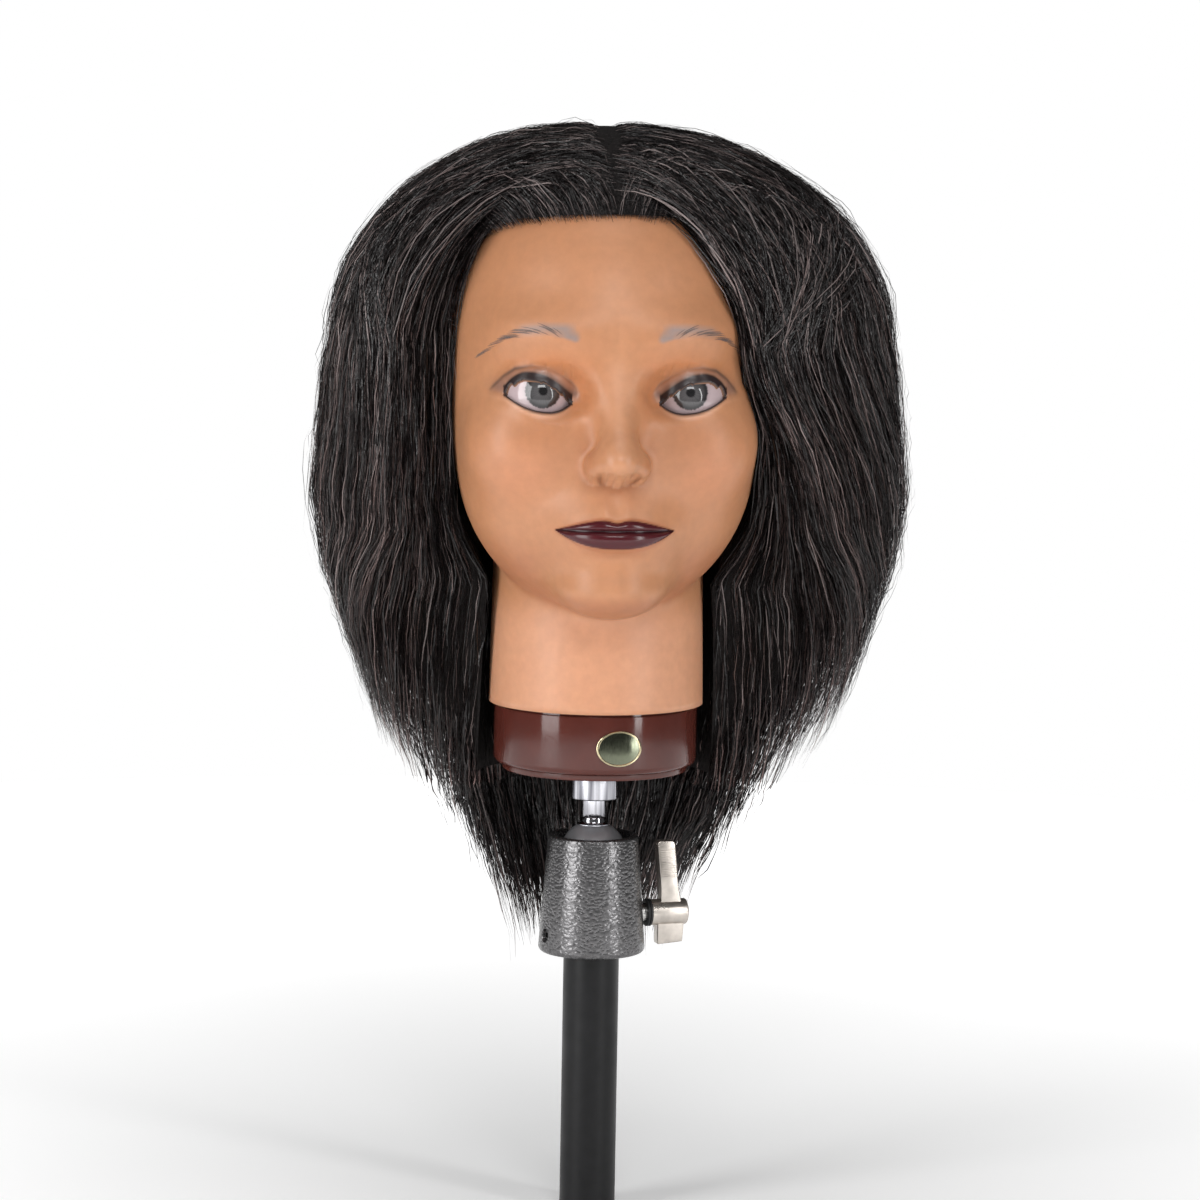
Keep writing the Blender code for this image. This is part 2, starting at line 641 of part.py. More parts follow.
def make_hair_tips(mat):
    """The longest strands at the nape, below the ball's level clearance."""
    rows = []
    for share in np.linspace(1, 0, 7):
        height = TIPS_BOTTOM + (BACK_HAIR_BOTTOM - TIPS_GAP - TIPS_BOTTOM) * share
        half = TIPS_END_ANGLE + (TIPS_TOP_ANGLE - TIPS_END_ANGLE) * share ** 0.6
        spread = np.linspace(-1, 1, 11)
        azimuths = math.pi + spread * half
        thickness = TIPS_END_THICKNESS + (TIPS_TOP_THICKNESS - TIPS_END_THICKNESS) * share
        outer = HAIR_NECK_RADIUS + thickness * (1 - 0.6 * spread ** 2)
        directions = np.stack([np.sin(azimuths), -np.cos(azimuths), 0 * azimuths], axis=-1)
        level = np.array([0, 0, HEAD_DATUM + height])
        rows.append([directions * HAIR_NECK_RADIUS + level, directions * outer[:, None] + level])
    thick_section("hair_back_tips", rows, mat)


def make_hair():
    mat = material("dark_hair", (0.035, 0.025, 0.024), 0.55)
    make_crown_hair(mat)
    for side, label in ((-1, "left"), (1, "right")):
        make_side_hair(label, side, mat)
    make_back_hair(mat)
    make_hair_tips(mat)


# Neck base

def screw_places():
    turn = 2 * math.pi / BASE_SCREWS
    return [(BASE_SCREW_CIRCLE * math.sin(i * turn), BASE_SCREW_CIRCLE * math.cos(i * turn))
            for i in range(BASE_SCREWS)]


def screw_profile(clearance):
    """A countersunk screw, head down, with its head's face at the plate's lower face."""
    shank = BASE_SCREW_RADIUS + clearance
    head = BASE_SCREW_HEAD_RADIUS + clearance
    face = PLATE_BOTTOM + (GAP if clearance == 0 else -GAP)
    cone_top = PLATE_BOTTOM + GAP + BASE_SCREW_HEAD_RADIUS - BASE_SCREW_RADIUS
    end = PLATE_BOTTOM + BASE_SCREW_LENGTH + clearance
    return [(0, face), (head, face), (head, PLATE_BOTTOM + GAP), (shank, cone_top), (shank, end), (0, end)]


def screw_cutters():
    cutters = []
    for i, (x, y) in enumerate(screw_places(), 1):
        name = f"base_screw_hole_{i}"
        cutter = bpy.data.objects.get(name)
        if cutter is None:
            cutter = as_cutter(turned(name, screw_profile(GAP), sides=12))
            cutter.location = (x, y, 0)
        cutters.append(cutter)
    return cutters


def make_base_screws():
    steel = material("zinc_screw", (0.62, 0.62, 0.60), 0.35, 1.0)
    for i, (x, y) in enumerate(screw_places(), 1):
        screw = turned(f"base_screw_{i}", screw_profile(0.0), steel, sides=12)
        screw.location = (x, y, 0)


def make_neck_base():
    brown = material("brown_gloss", (0.115, 0.032, 0.025), 0.15)
    inner = BASE_RADIUS - BASE_WALL
    hole = SOCKET_RADIUS + GAP
    floor = BASE_BOTTOM + BASE_FLOOR
    foot = arc(BASE_RADIUS - BASE_EDGE, BASE_BOTTOM + BASE_EDGE, BASE_EDGE, -90, 0, 4)
    cup = [(hole, BASE_BOTTOM), *foot, (BASE_RADIUS, BASE_TOP), (inner, BASE_TOP),
           (inner, floor), (hole, floor)]
    base = turned("neck_base", cup, brown, sides=36)
    plate_top = PLATE_BOTTOM + PLATE_THICKNESS
    plate = turned("base_plate", tube_profile(SOCKET_BORE, PLATE_RADIUS, PLATE_BOTTOM, plate_top),
                   brown, sides=36)
    for cutter in screw_cutters():
        boolean(base, cutter)
        boolean(plate, cutter)
    socket = tube_profile(SOCKET_BORE, SOCKET_RADIUS, plate_top + GAP, SOCKET_TOP)
    turned("socket_sleeve", socket, material("white_nylon", (0.80, 0.79, 0.76), 0.4), sides=28)


def make_badge():
    """A plain oval plate bent to the neck base's curve."""
    brass = material("brushed_brass", (0.72, 0.60, 0.36), 0.3, 1.0)
    bm = bmesh.new()
    centre = BASE_BOTTOM + BADGE_ABOVE_BASE
    layers = []
    for radius in (BASE_RADIUS + GAP, BASE_RADIUS + GAP + BADGE_THICKNESS):
        ring = []
        for turn in np.linspace(0, 2 * math.pi, 28, endpoint=False):
            across = BADGE_WIDTH / 2 * math.cos(turn)
            azimuth = BADGE_AZIMUTH + across / BASE_RADIUS
            up = centre + BADGE_HEIGHT / 2 * math.sin(turn)
            ring.append((radius * math.cos(azimuth), radius * math.sin(azimuth), up))
        middle = (radius * math.cos(BADGE_AZIMUTH), radius * math.sin(BADGE_AZIMUTH), centre)
        layers.append(add_ring(bm, ring))
        add_cap(bm, layers[-1], middle)
    join_rings(bm, layers[0], layers[1])
    finish_mesh("badge", bm, brass)


# Ball-joint holder

def make_pole():
    satin = material("pole_black", (0.012, 0.012, 0.014), 0.35)
    plastic = material("black_plastic", (0.015, 0.015, 0.015), 0.55)
    bore = POLE_RADIUS - POLE_WALL
    turned("pole", tube_profile(bore, POLE_RADIUS, PLUG_FLANGE + GAP, POLE_TOP), satin)
    plug_top = PLUG_FLANGE + PLUG_DEPTH
    plug = [(0, 0), (POLE_RADIUS, 0), (POLE_RADIUS, PLUG_FLANGE), (bore - GAP, PLUG_FLANGE),
            (bore - GAP, plug_top), (0, plug_top)]
    turned("pole_end_plug", plug, plastic, sides=28)
    insert = disc_profile(bore - GAP, POLE_TOP - INSERT_LENGTH, POLE_TOP)
    turned("pole_top_insert", insert, plastic, sides=28)


def housing_profile():
    slope = (HOUSING_BOTTOM_RADIUS - HOUSING_TOP_RADIUS) / (HOUSING_TOP - HOUSING_BOTTOM)
    edge_top = HOUSING_BOTTOM_RADIUS - slope * HOUSING_EDGE
    foot = arc(edge_top - HOUSING_EDGE, HOUSING_BOTTOM + HOUSING_EDGE, HOUSING_EDGE, -90, 0, 3)
    rim = arc(HOUSING_TOP_RADIUS - RIM_EDGE, HOUSING_TOP - RIM_EDGE, RIM_EDGE, 0, 90, 2)
    socket = POLE_RADIUS + GAP
    socket_top = HOUSING_BOTTOM + POLE_SOCKET_DEPTH
    foot_bore = FOOT_RADIUS + RUNNING
    return [(socket, HOUSING_BOTTOM), *foot, *rim, (CHAMBER_RADIUS, HOUSING_TOP),
            (CHAMBER_RADIUS, CHAMBER_FLOOR), (foot_bore, CHAMBER_FLOOR),
            (foot_bore, FOOT_BORE_FLOOR), (0, FOOT_BORE_FLOOR), (0, socket_top),
            (socket, socket_top)]


def slot_cutter():
    """A slot with a round floor, open upwards, from the ball's centre out through one side."""
    steps = np.linspace(math.pi, 2 * math.pi, 13)
    outline = [(SLOT_HALF_WIDTH * math.cos(a), SLOT_HALF_WIDTH * math.sin(a)) for a in steps]
    above = 2 * RIM_ABOVE_BALL
    outline += [(SLOT_HALF_WIDTH, above), (-SLOT_HALF_WIDTH, above)]
    cutter = extruded("stem_slot", outline, 0.0, 1.5 * HOUSING_BOTTOM_RADIUS)
    cutter.location = (0, 0, BALL_Z)
    cutter.rotation_euler = (0, 0, SLOT_AZIMUTH - math.pi / 2)
    return as_cutter(cutter)


def make_housing(slot, lever_axis):
    cast = material("hammertone", (0.17, 0.165, 0.17), 0.35, 0.8)
    housing = turned("clamp_housing", housing_profile(), cast, sides=36)
    boolean(housing, slot)
    pin, thread = WEDGE_RADIUS + RUNNING, CLAMP_SCREW_RADIUS + RUNNING
    start, step = -WEDGE_RADIUS - CLAMP_TRAVEL, CLAMP_SCREW_INNER_END - 2 * CLAMP_TRAVEL
    end = 2 * HOUSING_BOTTOM_RADIUS
    stepped = [(0, start), (pin, start), (pin, step), (thread, step), (thread, end), (0, end)]
    boolean(housing, as_cutter(along_x(turned("lever_bore_cut", stepped, sides=24), lever_axis)))
    screw_axis = empty("set_screw_axis", HOUSING_BOTTOM + SET_SCREW_HEIGHT, SET_SCREW_AZIMUTH)
    hole = along_x(turned("set_screw_hole", disc_profile(SET_SCREW_RADIUS + GAP, POLE_RADIUS - POLE_WALL,
                                                         HOUSING_BOTTOM_RADIUS * 2), sides=24), screw_axis)
    boolean(housing, as_cutter(hole))
    return screw_axis


def make_set_screw(screw_axis):
    black = material("black_steel", (0.03, 0.03, 0.03), 0.35, 0.9)
    slope = (HOUSING_BOTTOM_RADIUS - HOUSING_TOP_RADIUS) / (HOUSING_TOP - HOUSING_BOTTOM)
    flush = HOUSING_BOTTOM_RADIUS - slope * SET_SCREW_HEIGHT - SET_SCREW_SINK
    inner = POLE_RADIUS + GAP
    outer = min(inner + SET_SCREW_LENGTH, flush)
    screw = along_x(turned("set_screw", disc_profile(SET_SCREW_RADIUS, inner, outer), black,
                           sides=SMALL_ROUND), screw_axis)
    key = disc_profile(HEX_SOCKET_RADIUS, outer - HEX_SOCKET_DEPTH, outer + HEX_SOCKET_DEPTH)
    boolean(screw, as_cutter(along_x(turned("set_screw_key", key, sides=6), screw_axis)))


def make_seats(slot, lever_axis):
    nylon = material("black_acetal", (0.02, 0.02, 0.02), 0.4)
    top = -CUP_TOP_BELOW_CENTRE
    start = math.degrees(math.asin(top / SEAT_SPHERE))
    end = -90 + math.degrees(math.asin(CUP_BORE_RADIUS / SEAT_SPHERE))
    bowl = arc(0, BALL_Z, SEAT_SPHERE, start, end, 6)
    dimple = CUP_BOTTOM + 2.5 * MM
    cup = [*bowl, (CUP_BORE_RADIUS, dimple), (0, dimple), (0, FOOT_BOTTOM), (FOOT_RADIUS, FOOT_BOTTOM),
           (FOOT_RADIUS, CUP_BOTTOM), (SEAT_RADIUS, CUP_BOTTOM), (SEAT_RADIUS, BALL_Z + top)]
    seat = turned("ball_seat", cup[::-1], nylon)
    boolean(seat, slot)
    boolean(seat, as_cutter(wedge_plane_cutter("foot_bevel", lever_axis, 1)))
    low = math.degrees(math.asin(RING_BOTTOM_ABOVE_CENTRE / SEAT_SPHERE))
    high = math.degrees(math.asin(RING_TOP_ABOVE_CENTRE / SEAT_SPHERE))
    face = arc(0, BALL_Z, SEAT_SPHERE, low, high, 3)
    ring = [*face, (SEAT_RADIUS, face[-1][1]), (SEAT_RADIUS, face[0][1])]
    boolean(turned("upper_seat_ring", ring, nylon), slot)


def wedge_plane_cutter(name, lever_axis, side):
    """A block whose sloping face is the 45 degree plane of the wedge, under or over it."""
    size = 4 * WEDGE_RADIUS
    lift = GAP / 2 * math.sqrt(2)
    if side > 0:
        outline = [(-size, -size + lift), (size, size + lift), (size, -size + lift)]
    else:
        outline = [(-size, -size - lift), (size, size - lift), (-size, size - lift)]
    block = extruded(name, outline, -size, size)
    block.parent = lever_axis
    return block


def make_wedge(lever_axis):
    steel = material("bright_steel", (0.60, 0.60, 0.58), 0.3, 1.0)
    wedge = along_x(turned("wedge_pin", disc_profile(WEDGE_RADIUS, -WEDGE_RADIUS, WEDGE_LENGTH - WEDGE_RADIUS),
                           steel, sides=24), lever_axis)
    boolean(wedge, as_cutter(wedge_plane_cutter("wedge_bevel", lever_axis, -1)))


def make_clamp_screw(lever_axis):
    steel = material("bright_steel", (0.60, 0.60, 0.58), 0.3, 1.0)
    black = material("black_plastic", (0.015, 0.015, 0.015), 0.55)
    screw = disc_profile(CLAMP_SCREW_RADIUS, CLAMP_SCREW_INNER_END, CLAMP_SCREW_OUTER_END)
    along_x(turned("clamp_screw", screw, steel, sides=24), lever_axis)
    washer = tube_profile(CLAMP_SCREW_RADIUS + GAP, WASHER_RADIUS, WASHER_INNER_FACE,
                          WASHER_INNER_FACE + WASHER_THICKNESS)
    along_x(turned("lever_washer", washer, black, sides=28), lever_axis)


def make_lever(lever_axis):
    """A boss on the screw's axis with a leaning finger arm above it and a short tail below."""
    nickel = material("nickel_casting", (0.66, 0.61, 0.55), 0.35, 0.9)
    outer_face = BOSS_INNER_FACE + BOSS_LENGTH
    edge = 0.6 * MM
    boss = [(0, BOSS_INNER_FACE), (BOSS_RADIUS, BOSS_INNER_FACE), (BOSS_RADIUS, outer_face - edge),
            (BOSS_RADIUS - edge, outer_face), (0, outer_face)]
    lever = along_x(turned("lever", boss, nickel, sides=28), lever_axis)
    middle = BOSS_INNER_FACE + BOSS_LENGTH / 2
    low_x = middle - ARM_FOOT_WIDTH / 2 + 1.5 * MM
    shift = (ARM_REACH - ARM_TAPER_HEIGHT) * math.tan(ARM_LEAN)
    neck_left = middle - ARM_WIDTH / 2
    arm = [(low_x, 0), (low_x + ARM_FOOT_WIDTH, 0), (neck_left + ARM_WIDTH, ARM_TAPER_HEIGHT),
           (neck_left + ARM_WIDTH - shift, ARM_REACH), (neck_left - shift, ARM_REACH),
           (neck_left, ARM_TAPER_HEIGHT)]
    finger = extruded("lever_arm_shape", arm, -ARM_THICKNESS / 2, ARM_THICKNESS / 2)
    tail_left = middle - TAIL_WIDTH / 2 + 1.0 * MM
    tail = [(tail_left, -TAIL_REACH), (tail_left + TAIL_WIDTH - 1.0 * MM, -TAIL_REACH + 1.0 * MM),
            (tail_left + TAIL_WIDTH, 0), (tail_left, 0)]
    block = extruded("lever_tail_shape", tail, -ARM_THICKNESS / 2, ARM_THICKNESS / 2)
    for piece in (finger, block):
        piece.parent = lever_axis
        boolean(lever, as_cutter(piece), "UNION")
    bore = disc_profile(CLAMP_SCREW_RADIUS + GAP, BOSS_INNER_FACE - BOSS_LENGTH,
                        CLAMP_SCREW_OUTER_END + GAP)
    boolean(lever, as_cutter(along_x(turned("lever_bore", bore, sides=24), lever_axis)))


def make_ball():
    gunmetal = material("gunmetal_ball", (0.12, 0.12, 0.13), 0.3, 1.0)
    ball = turned("ball", arc(0, 0, BALL_RADIUS, -90, 90, 12), gunmetal)
    ball.location = (0, 0, BALL_Z)


def make_stud():
    bright = material("polished_aluminium", (0.86, 0.86, 0.88), 0.12, 1.0)
    foot_angle = math.degrees(math.acos(STUD_FOOT_RADIUS / SEAT_SPHERE))
    foot = arc(0, 0, SEAT_SPHERE, 90, foot_angle, 5)
    foot_top = foot[-1][1] + STUD_FOOT_EDGE
    low, high = STEM_REACH, STEM_REACH + COLLAR_LENGTH
    end = high + SPIGOT_LENGTH
    hole = SLEEVE_SCREW_RADIUS + GAP
    hole_floor = end - SLEEVE_SCREW_LENGTH
    profile = [*foot, (STUD_FOOT_RADIUS, foot_top), (STEM_RADIUS, foot_top), (STEM_RADIUS, low),
               (COLLAR_RADIUS - COLLAR_EDGE, low), (COLLAR_RADIUS, low + COLLAR_EDGE),
               (COLLAR_RADIUS, high - COLLAR_EDGE), (COLLAR_RADIUS - COLLAR_EDGE, high),
               (SPIGOT_RADIUS, high), (SPIGOT_RADIUS, end), (hole, end), (hole, hole_floor), (0, hole_floor)]
    stud = turned("stud", profile, bright, sides=24)
    stud.location = (0, 0, BALL_Z)


def make_spigot_parts():
    rubber = material("grey_rubber", (0.10, 0.10, 0.10), 0.8)
    steel = material("zinc_screw", (0.62, 0.62, 0.60), 0.35, 1.0)
    sleeve = tube_profile(SPIGOT_RADIUS + GAP, SLEEVE_RADIUS, COLLAR_TOP + GAP, SPIGOT_TOP)
    turned("spigot_sleeve", sleeve, rubber, sides=28)
    washer_top = SLEEVE_WASHER_BOTTOM + SLEEVE_WASHER_THICKNESS
    washer = tube_profile(SLEEVE_SCREW_RADIUS + GAP, SPIGOT_RADIUS + WASHER_OVERHANG,
                          SLEEVE_WASHER_BOTTOM, washer_top)
    turned("sleeve_washer", washer, steel, sides=28)
    head = 2 * SLEEVE_SCREW_RADIUS - 0.5 * MM
    head_top = SLEEVE_SCREW_SEAT + SLEEVE_SCREW_HEAD
    screw_end = SPIGOT_TOP - SLEEVE_SCREW_LENGTH + GAP
    screw = [(0, screw_end), (SLEEVE_SCREW_RADIUS, screw_end), (SLEEVE_SCREW_RADIUS, SLEEVE_SCREW_SEAT),
             (head, SLEEVE_SCREW_SEAT), (head, head_top), (0, head_top)]
    turned("sleeve_screw", screw, steel, sides=16)


def make_holder():
    lever_axis = empty("lever_axis", LEVER_Z, LEVER_AZIMUTH)
    slot = slot_cutter()
    make_set_screw(make_housing(slot, lever_axis))
    make_seats(slot, lever_axis)
    make_wedge(lever_axis)
    make_clamp_screw(lever_axis)
    make_lever(lever_axis)
    make_ball()
    make_stud()
    make_spigot_parts()


clear_scene()
make_pole()
make_holder()
make_neck_base()
make_base_screws()
make_badge()
make_head_skin()
make_head_core()
make_eyes()
make_hair()
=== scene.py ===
"""Looks of the mannequin training head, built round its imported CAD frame.

Metres, +Z up, the face looks along -Y.
"""

import math

import bmesh
import bpy
import numpy as np
from mathutils import Matrix, Vector


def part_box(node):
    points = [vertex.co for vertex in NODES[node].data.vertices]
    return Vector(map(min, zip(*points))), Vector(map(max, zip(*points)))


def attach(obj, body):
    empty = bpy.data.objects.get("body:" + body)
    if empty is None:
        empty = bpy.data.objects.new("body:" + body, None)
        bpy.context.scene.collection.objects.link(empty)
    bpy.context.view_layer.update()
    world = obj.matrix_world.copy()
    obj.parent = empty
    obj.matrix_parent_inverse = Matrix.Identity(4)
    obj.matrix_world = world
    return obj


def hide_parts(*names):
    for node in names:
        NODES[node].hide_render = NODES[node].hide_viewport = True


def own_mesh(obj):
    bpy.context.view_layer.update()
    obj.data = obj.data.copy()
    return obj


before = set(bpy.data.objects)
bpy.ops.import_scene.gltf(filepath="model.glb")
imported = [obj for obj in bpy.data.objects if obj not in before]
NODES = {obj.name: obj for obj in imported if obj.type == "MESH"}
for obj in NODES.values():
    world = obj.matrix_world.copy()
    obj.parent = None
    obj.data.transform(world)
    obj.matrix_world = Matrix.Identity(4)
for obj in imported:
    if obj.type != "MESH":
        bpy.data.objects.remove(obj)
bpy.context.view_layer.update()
MM = 0.001


def middle_z(name):
    low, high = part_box(name)
    return (low.z + high.z) / 2


# Levels from the frame; the trim under the neck and the azimuths are the part's own
NECK_TRIM = 4.1 * MM
NECK_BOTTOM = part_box("head_skin")[0].z - NECK_TRIM
BALL_Z = middle_z("ball")
LEVER_Z = middle_z("lever_washer")
SET_SCREW_Z = middle_z("set_screw")
LEVER_AZIMUTH = math.radians(12)
SLOT_AZIMUTH = math.radians(102)
SET_SCREW_AZIMUTH = math.radians(202)
TIPS_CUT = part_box("hair_back")[0].z - 0.3 * MM


# Mesh helpers

def link(name, mesh, mats):
    obj = bpy.data.objects.new(name, mesh)
    bpy.context.scene.collection.objects.link(obj)
    for mat in mats if isinstance(mats, (list, tuple)) else [mats]:
        mesh.materials.append(mat)
    return obj


def from_bmesh(name, bm, mat, sharp=35):
    bmesh.ops.remove_doubles(bm, verts=bm.verts[:], dist=1e-6)
    bmesh.ops.delete(bm, geom=[e for e in bm.edges if not e.link_faces], context="EDGES")
    bmesh.ops.recalc_face_normals(bm, faces=bm.faces[:])
    mesh = bpy.data.meshes.new(name)
    bm.to_mesh(mesh)
    bm.free()
    mesh.shade_smooth()
    mesh.set_sharp_from_angle(angle=math.radians(sharp))
    return link(name, mesh, mat)


def turned(name, profile, mat, sides=112):
    """A closed profile of (radius, height) points, spun about local Z."""
    bm = bmesh.new()
    points = [bm.verts.new((radius, 0.0, height)) for radius, height in profile]
    edges = [bm.edges.new((a, b)) for a, b in zip(points, points[1:] + points[:1])]
    bmesh.ops.spin(bm, geom=points + edges, cent=(0, 0, 0), axis=(0, 0, 1),
                   angle=2 * math.pi, steps=sides, use_merge=True)
    return from_bmesh(name, bm, mat)


def pin(start, radius, end):
    """Profile of a plain cylinder along local Z."""
    return [(0, start), (radius, start), (radius, end), (0, end)]


def arc(centre_r, centre_z, radius, start, end, steps=8):
    angles = np.radians(np.linspace(start, end, steps + 1))
    return [(centre_r + radius * math.cos(a), centre_z + radius * math.sin(a)) for a in angles]


def extruded(name, outline, low, high, mat, edge=0.0):
    """An outline in local XZ, extruded along local Y, its edges rounded."""
    bm = bmesh.new()
    face = bm.faces.new([bm.verts.new((x, low, z)) for x, z in outline])
    sweep = bmesh.ops.extrude_face_region(bm, geom=[face])
    moved = [item for item in sweep["geom"] if isinstance(item, bmesh.types.BMVert)]
    bmesh.ops.translate(bm, verts=moved, vec=(0, high - low, 0))
    if edge:
        sharp = [e for e in bm.edges if e.calc_face_angle(0) > 0.3]
        bmesh.ops.bevel(bm, geom=sharp, offset=edge, segments=3, affect="EDGES", profile=0.5)
    return from_bmesh(name, bm, mat)


def combine(obj, other, operation="DIFFERENCE"):
    """Applies a Boolean at once and removes the other shape."""
    bpy.context.view_layer.update()
    modifier = obj.modifiers.new("cut", "BOOLEAN")
    modifier.operation = operation
    modifier.object = other
    graph = bpy.context.evaluated_depsgraph_get()
    mesh = bpy.data.meshes.new_from_object(obj.evaluated_get(graph))
    obj.modifiers.clear()
    obj.data = mesh
    mesh.set_sharp_from_angle(angle=math.radians(35))
    bpy.data.objects.remove(other)


def placed(obj, height, azimuth=0.0, lying=False):
    """Moves a piece to a height on the pole's axis; lying turns its Z to the azimuth."""
    turn = Matrix.Rotation(azimuth, 4, "Z")
    if lying:
        turn = turn @ Matrix.Rotation(math.pi / 2, 4, "Y")
    obj.data.transform(Matrix.Translation((0, 0, height)) @ turn)
    return obj


def stand_for(obj, body, slot, *nodes):
    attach(obj, body)
    if nodes:
        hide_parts(*nodes)
    return obj


def mesh_of_quads(name, points, quads, mats, uv=None):
    mesh = bpy.data.meshes.new(name)
    mesh.vertices.add(len(points))
    mesh.vertices.foreach_set("co", np.ascontiguousarray(points, np.float32).ravel())
    mesh.loops.add(quads.size)
    mesh.loops.foreach_set("vertex_index", np.ascontiguousarray(quads, np.int32).ravel())
    mesh.polygons.add(len(quads))
    mesh.polygons.foreach_set("loop_start", np.arange(0, quads.size, 4, dtype=np.int32))
    if uv is not None:
        layer = mesh.uv_layers.new(name="OFBake")
        layer.data.foreach_set("uv", np.ascontiguousarray(uv[quads.ravel()], np.float32).ravel())
    mesh.update(calc_edges=True)
    mesh.shade_smooth()
    return link(name, mesh, mats)


# Material helpers

def shader_of(mat):
    return mat.node_tree.nodes["Principled BSDF"]


def finish(name, colour, roughness, metallic=0.0, **more):
    mat = bpy.data.materials.new(name)
    mat.use_nodes = True
    shader = shader_of(mat)
    shader.inputs["Base Color"].default_value = (*colour, 1.0)
    shader.inputs["Roughness"].default_value = roughness
    shader.inputs["Metallic"].default_value = metallic
    for key, value in more.items():
        shader.inputs[key.replace("_", " ")].default_value = value
    return mat


def node(mat, kind, inputs=None, **settings):
    made = mat.node_tree.nodes.new(kind)
    for key, value in settings.items():
        setattr(made, key, value)
    for key, value in (inputs or {}).items():
        if isinstance(value, bpy.types.NodeSocket):
            mat.node_tree.links.new(value, made.inputs[key])
        else:
            made.inputs[key].default_value = value
    return made


def noise(mat, scale, detail=3.0, stretch=(1, 1, 1), rough=0.55):
    place = node(mat, "ShaderNodeTexCoord").outputs["Object"]
    spread = node(mat, "ShaderNodeMapping", {"Vector": place, "Scale": stretch})
    return node(mat, "ShaderNodeTexNoise", {"Vector": spread.outputs[0], "Scale": scale,
                                            "Detail": detail, "Roughness": rough}).outputs[0]


def between(mat, factor, low, high, start=0.3, end=0.7):
    scale = node(mat, "ShaderNodeMapRange", {"Value": factor, "From Min": start, "From Max": end,
                                             "To Min": low, "To Max": high})
    return scale.outputs[0]


def ramp(mat, factor, dark, light, start=0.3, end=0.7):
    mix = node(mat, "ShaderNodeValToRGB", {"Fac": factor})
    for stop, place, colour in zip(mix.color_ramp.elements, (start, end), (dark, light)):
        stop.position = place
        stop.color = (*colour, 1.0)
    return mix.outputs[0]


def connect(mat, socket, name):
    mat.node_tree.links.new(socket, shader_of(mat).inputs[name])


def bump(mat, height, strength, distance):
    made = node(mat, "ShaderNodeBump", {"Height": height, "Strength": strength, "Distance": distance})
    connect(mat, made.outputs[0], "Normal")
    return mat


def worn(name, colour, roughness, metallic=0.0, scale=180, spread=0.18, dent=0.12, **more):
    """Colour mottled by a share of itself, roughness by smears, and a fine bump."""
    mat = finish(name, colour, roughness, metallic, **more)
    dark = [c * (1 - spread) for c in colour]
    light = [min(c * (1 + spread), 1) for c in colour]
    connect(mat, ramp(mat, noise(mat, scale), dark, light), "Base Color")
    smear = noise(mat, scale / 5, 5)
    connect(mat, between(mat, smear, roughness * 0.8, min(roughness * 1.25, 1)), "Roughness")
    return bump(mat, noise(mat, scale * 8, 2), dent, 0.05 * MM)


def hammertone():
    """Paint that dried into small rounded dimples, each a little glossier than its rim."""
    mat = finish("hammertone", (0.20, 0.195, 0.20), 0.3, 0.9)
    place = node(mat, "ShaderNodeTexCoord").outputs["Object"]
    warp = node(mat, "ShaderNodeVectorMath", {0: noise(mat, 500, 2), 1: (0.8 * MM,) * 3, 2: place},
                operation="MULTIPLY_ADD").outputs[0]
    flat = node(mat, "ShaderNodeMapping", {"Vector": warp, "Scale": (1, 1, 1.5)}).outputs[0]
    cells = node(mat, "ShaderNodeTexVoronoi", {"Vector": flat, "Scale": 620}, feature="SMOOTH_F1").outputs[0]
    connect(mat, ramp(mat, cells, (0.20, 0.196, 0.20), (0.10, 0.098, 0.10), 0.1, 0.8), "Base Color")
    connect(mat, between(mat, cells, 0.22, 0.36, 0.1, 0.8), "Roughness")
    return bump(mat, cells, 0.4, 0.7 * MM)


def brushed(name, colour, roughness, stretch, scale=260, dent=0.12):
    mat = worn(name, colour, roughness, 1.0, scale=60, spread=0.06)
    lines = noise(mat, scale, 4, stretch)
    connect(mat, between(mat, lines, roughness * 0.6, roughness * 1.6), "Roughness")
    return bump(mat, lines, dent, 0.05 * MM)


def gloss_brown():
    mat = worn("brown_gloss", (0.080, 0.0195, 0.0140), 0.09, 0, scale=70, spread=0.10, dent=0.04,
               Specular_IOR_Level=0.4)
    connect(mat, between(mat, noise(mat, 900, 2), 0.06, 0.14), "Roughness")
    return mat


def metal_with_painted_reflections():
    """Turned and polished metal whose colour carries soft upright dark and bright streaks, painted
    reflections of the studio around it.
    """
    mat = brushed("polished_aluminium", (0.5, 0.5, 0.53), 0.10, (1, 1, 14), dent=0.06)
    streaks = noise(mat, 260, 2, (1, 1, 0.04))
    # painted reflections: the upright streaks in the base colour stand in for the studio mirrored in the
    # polished metal
    connect(mat, ramp(mat, streaks, (0.16, 0.16, 0.18), (0.72, 0.72, 0.76), 0.38, 0.64), "Base Color")
    return mat


BLACK_TUBE = worn("black_tube", (0.0055, 0.0055, 0.0062), 0.4, 0.0, spread=0.3, dent=0.25,
                  Specular_IOR_Level=0.3)
BLACK_PLASTIC = worn("black_plastic", (0.014, 0.014, 0.015), 0.5, scale=320, dent=0.4)
BLACK_STEEL = worn("black_steel", (0.03, 0.03, 0.031), 0.3, 0.8)
BRIGHT_STEEL = brushed("bright_steel", (0.62, 0.61, 0.59), 0.25, (1, 1, 12))
ZINC_STEEL = worn("zinc_steel", (0.62, 0.62, 0.60), 0.32, 1.0, spread=0.1)
GUNMETAL = worn("gunmetal", (0.32, 0.32, 0.335), 0.3, 0.65, scale=90)
ALUMINIUM = metal_with_painted_reflections()
NICKEL = worn("nickel_casting", (0.60, 0.55, 0.50), 0.3, 0.9, scale=130, spread=0.22, dent=0.25)
RUBBER = worn("grey_rubber", (0.09, 0.09, 0.09), 0.8, scale=400, dent=0.5)
NYLON = worn("white_nylon", (0.74, 0.73, 0.69), 0.42, scale=150, spread=0.05)
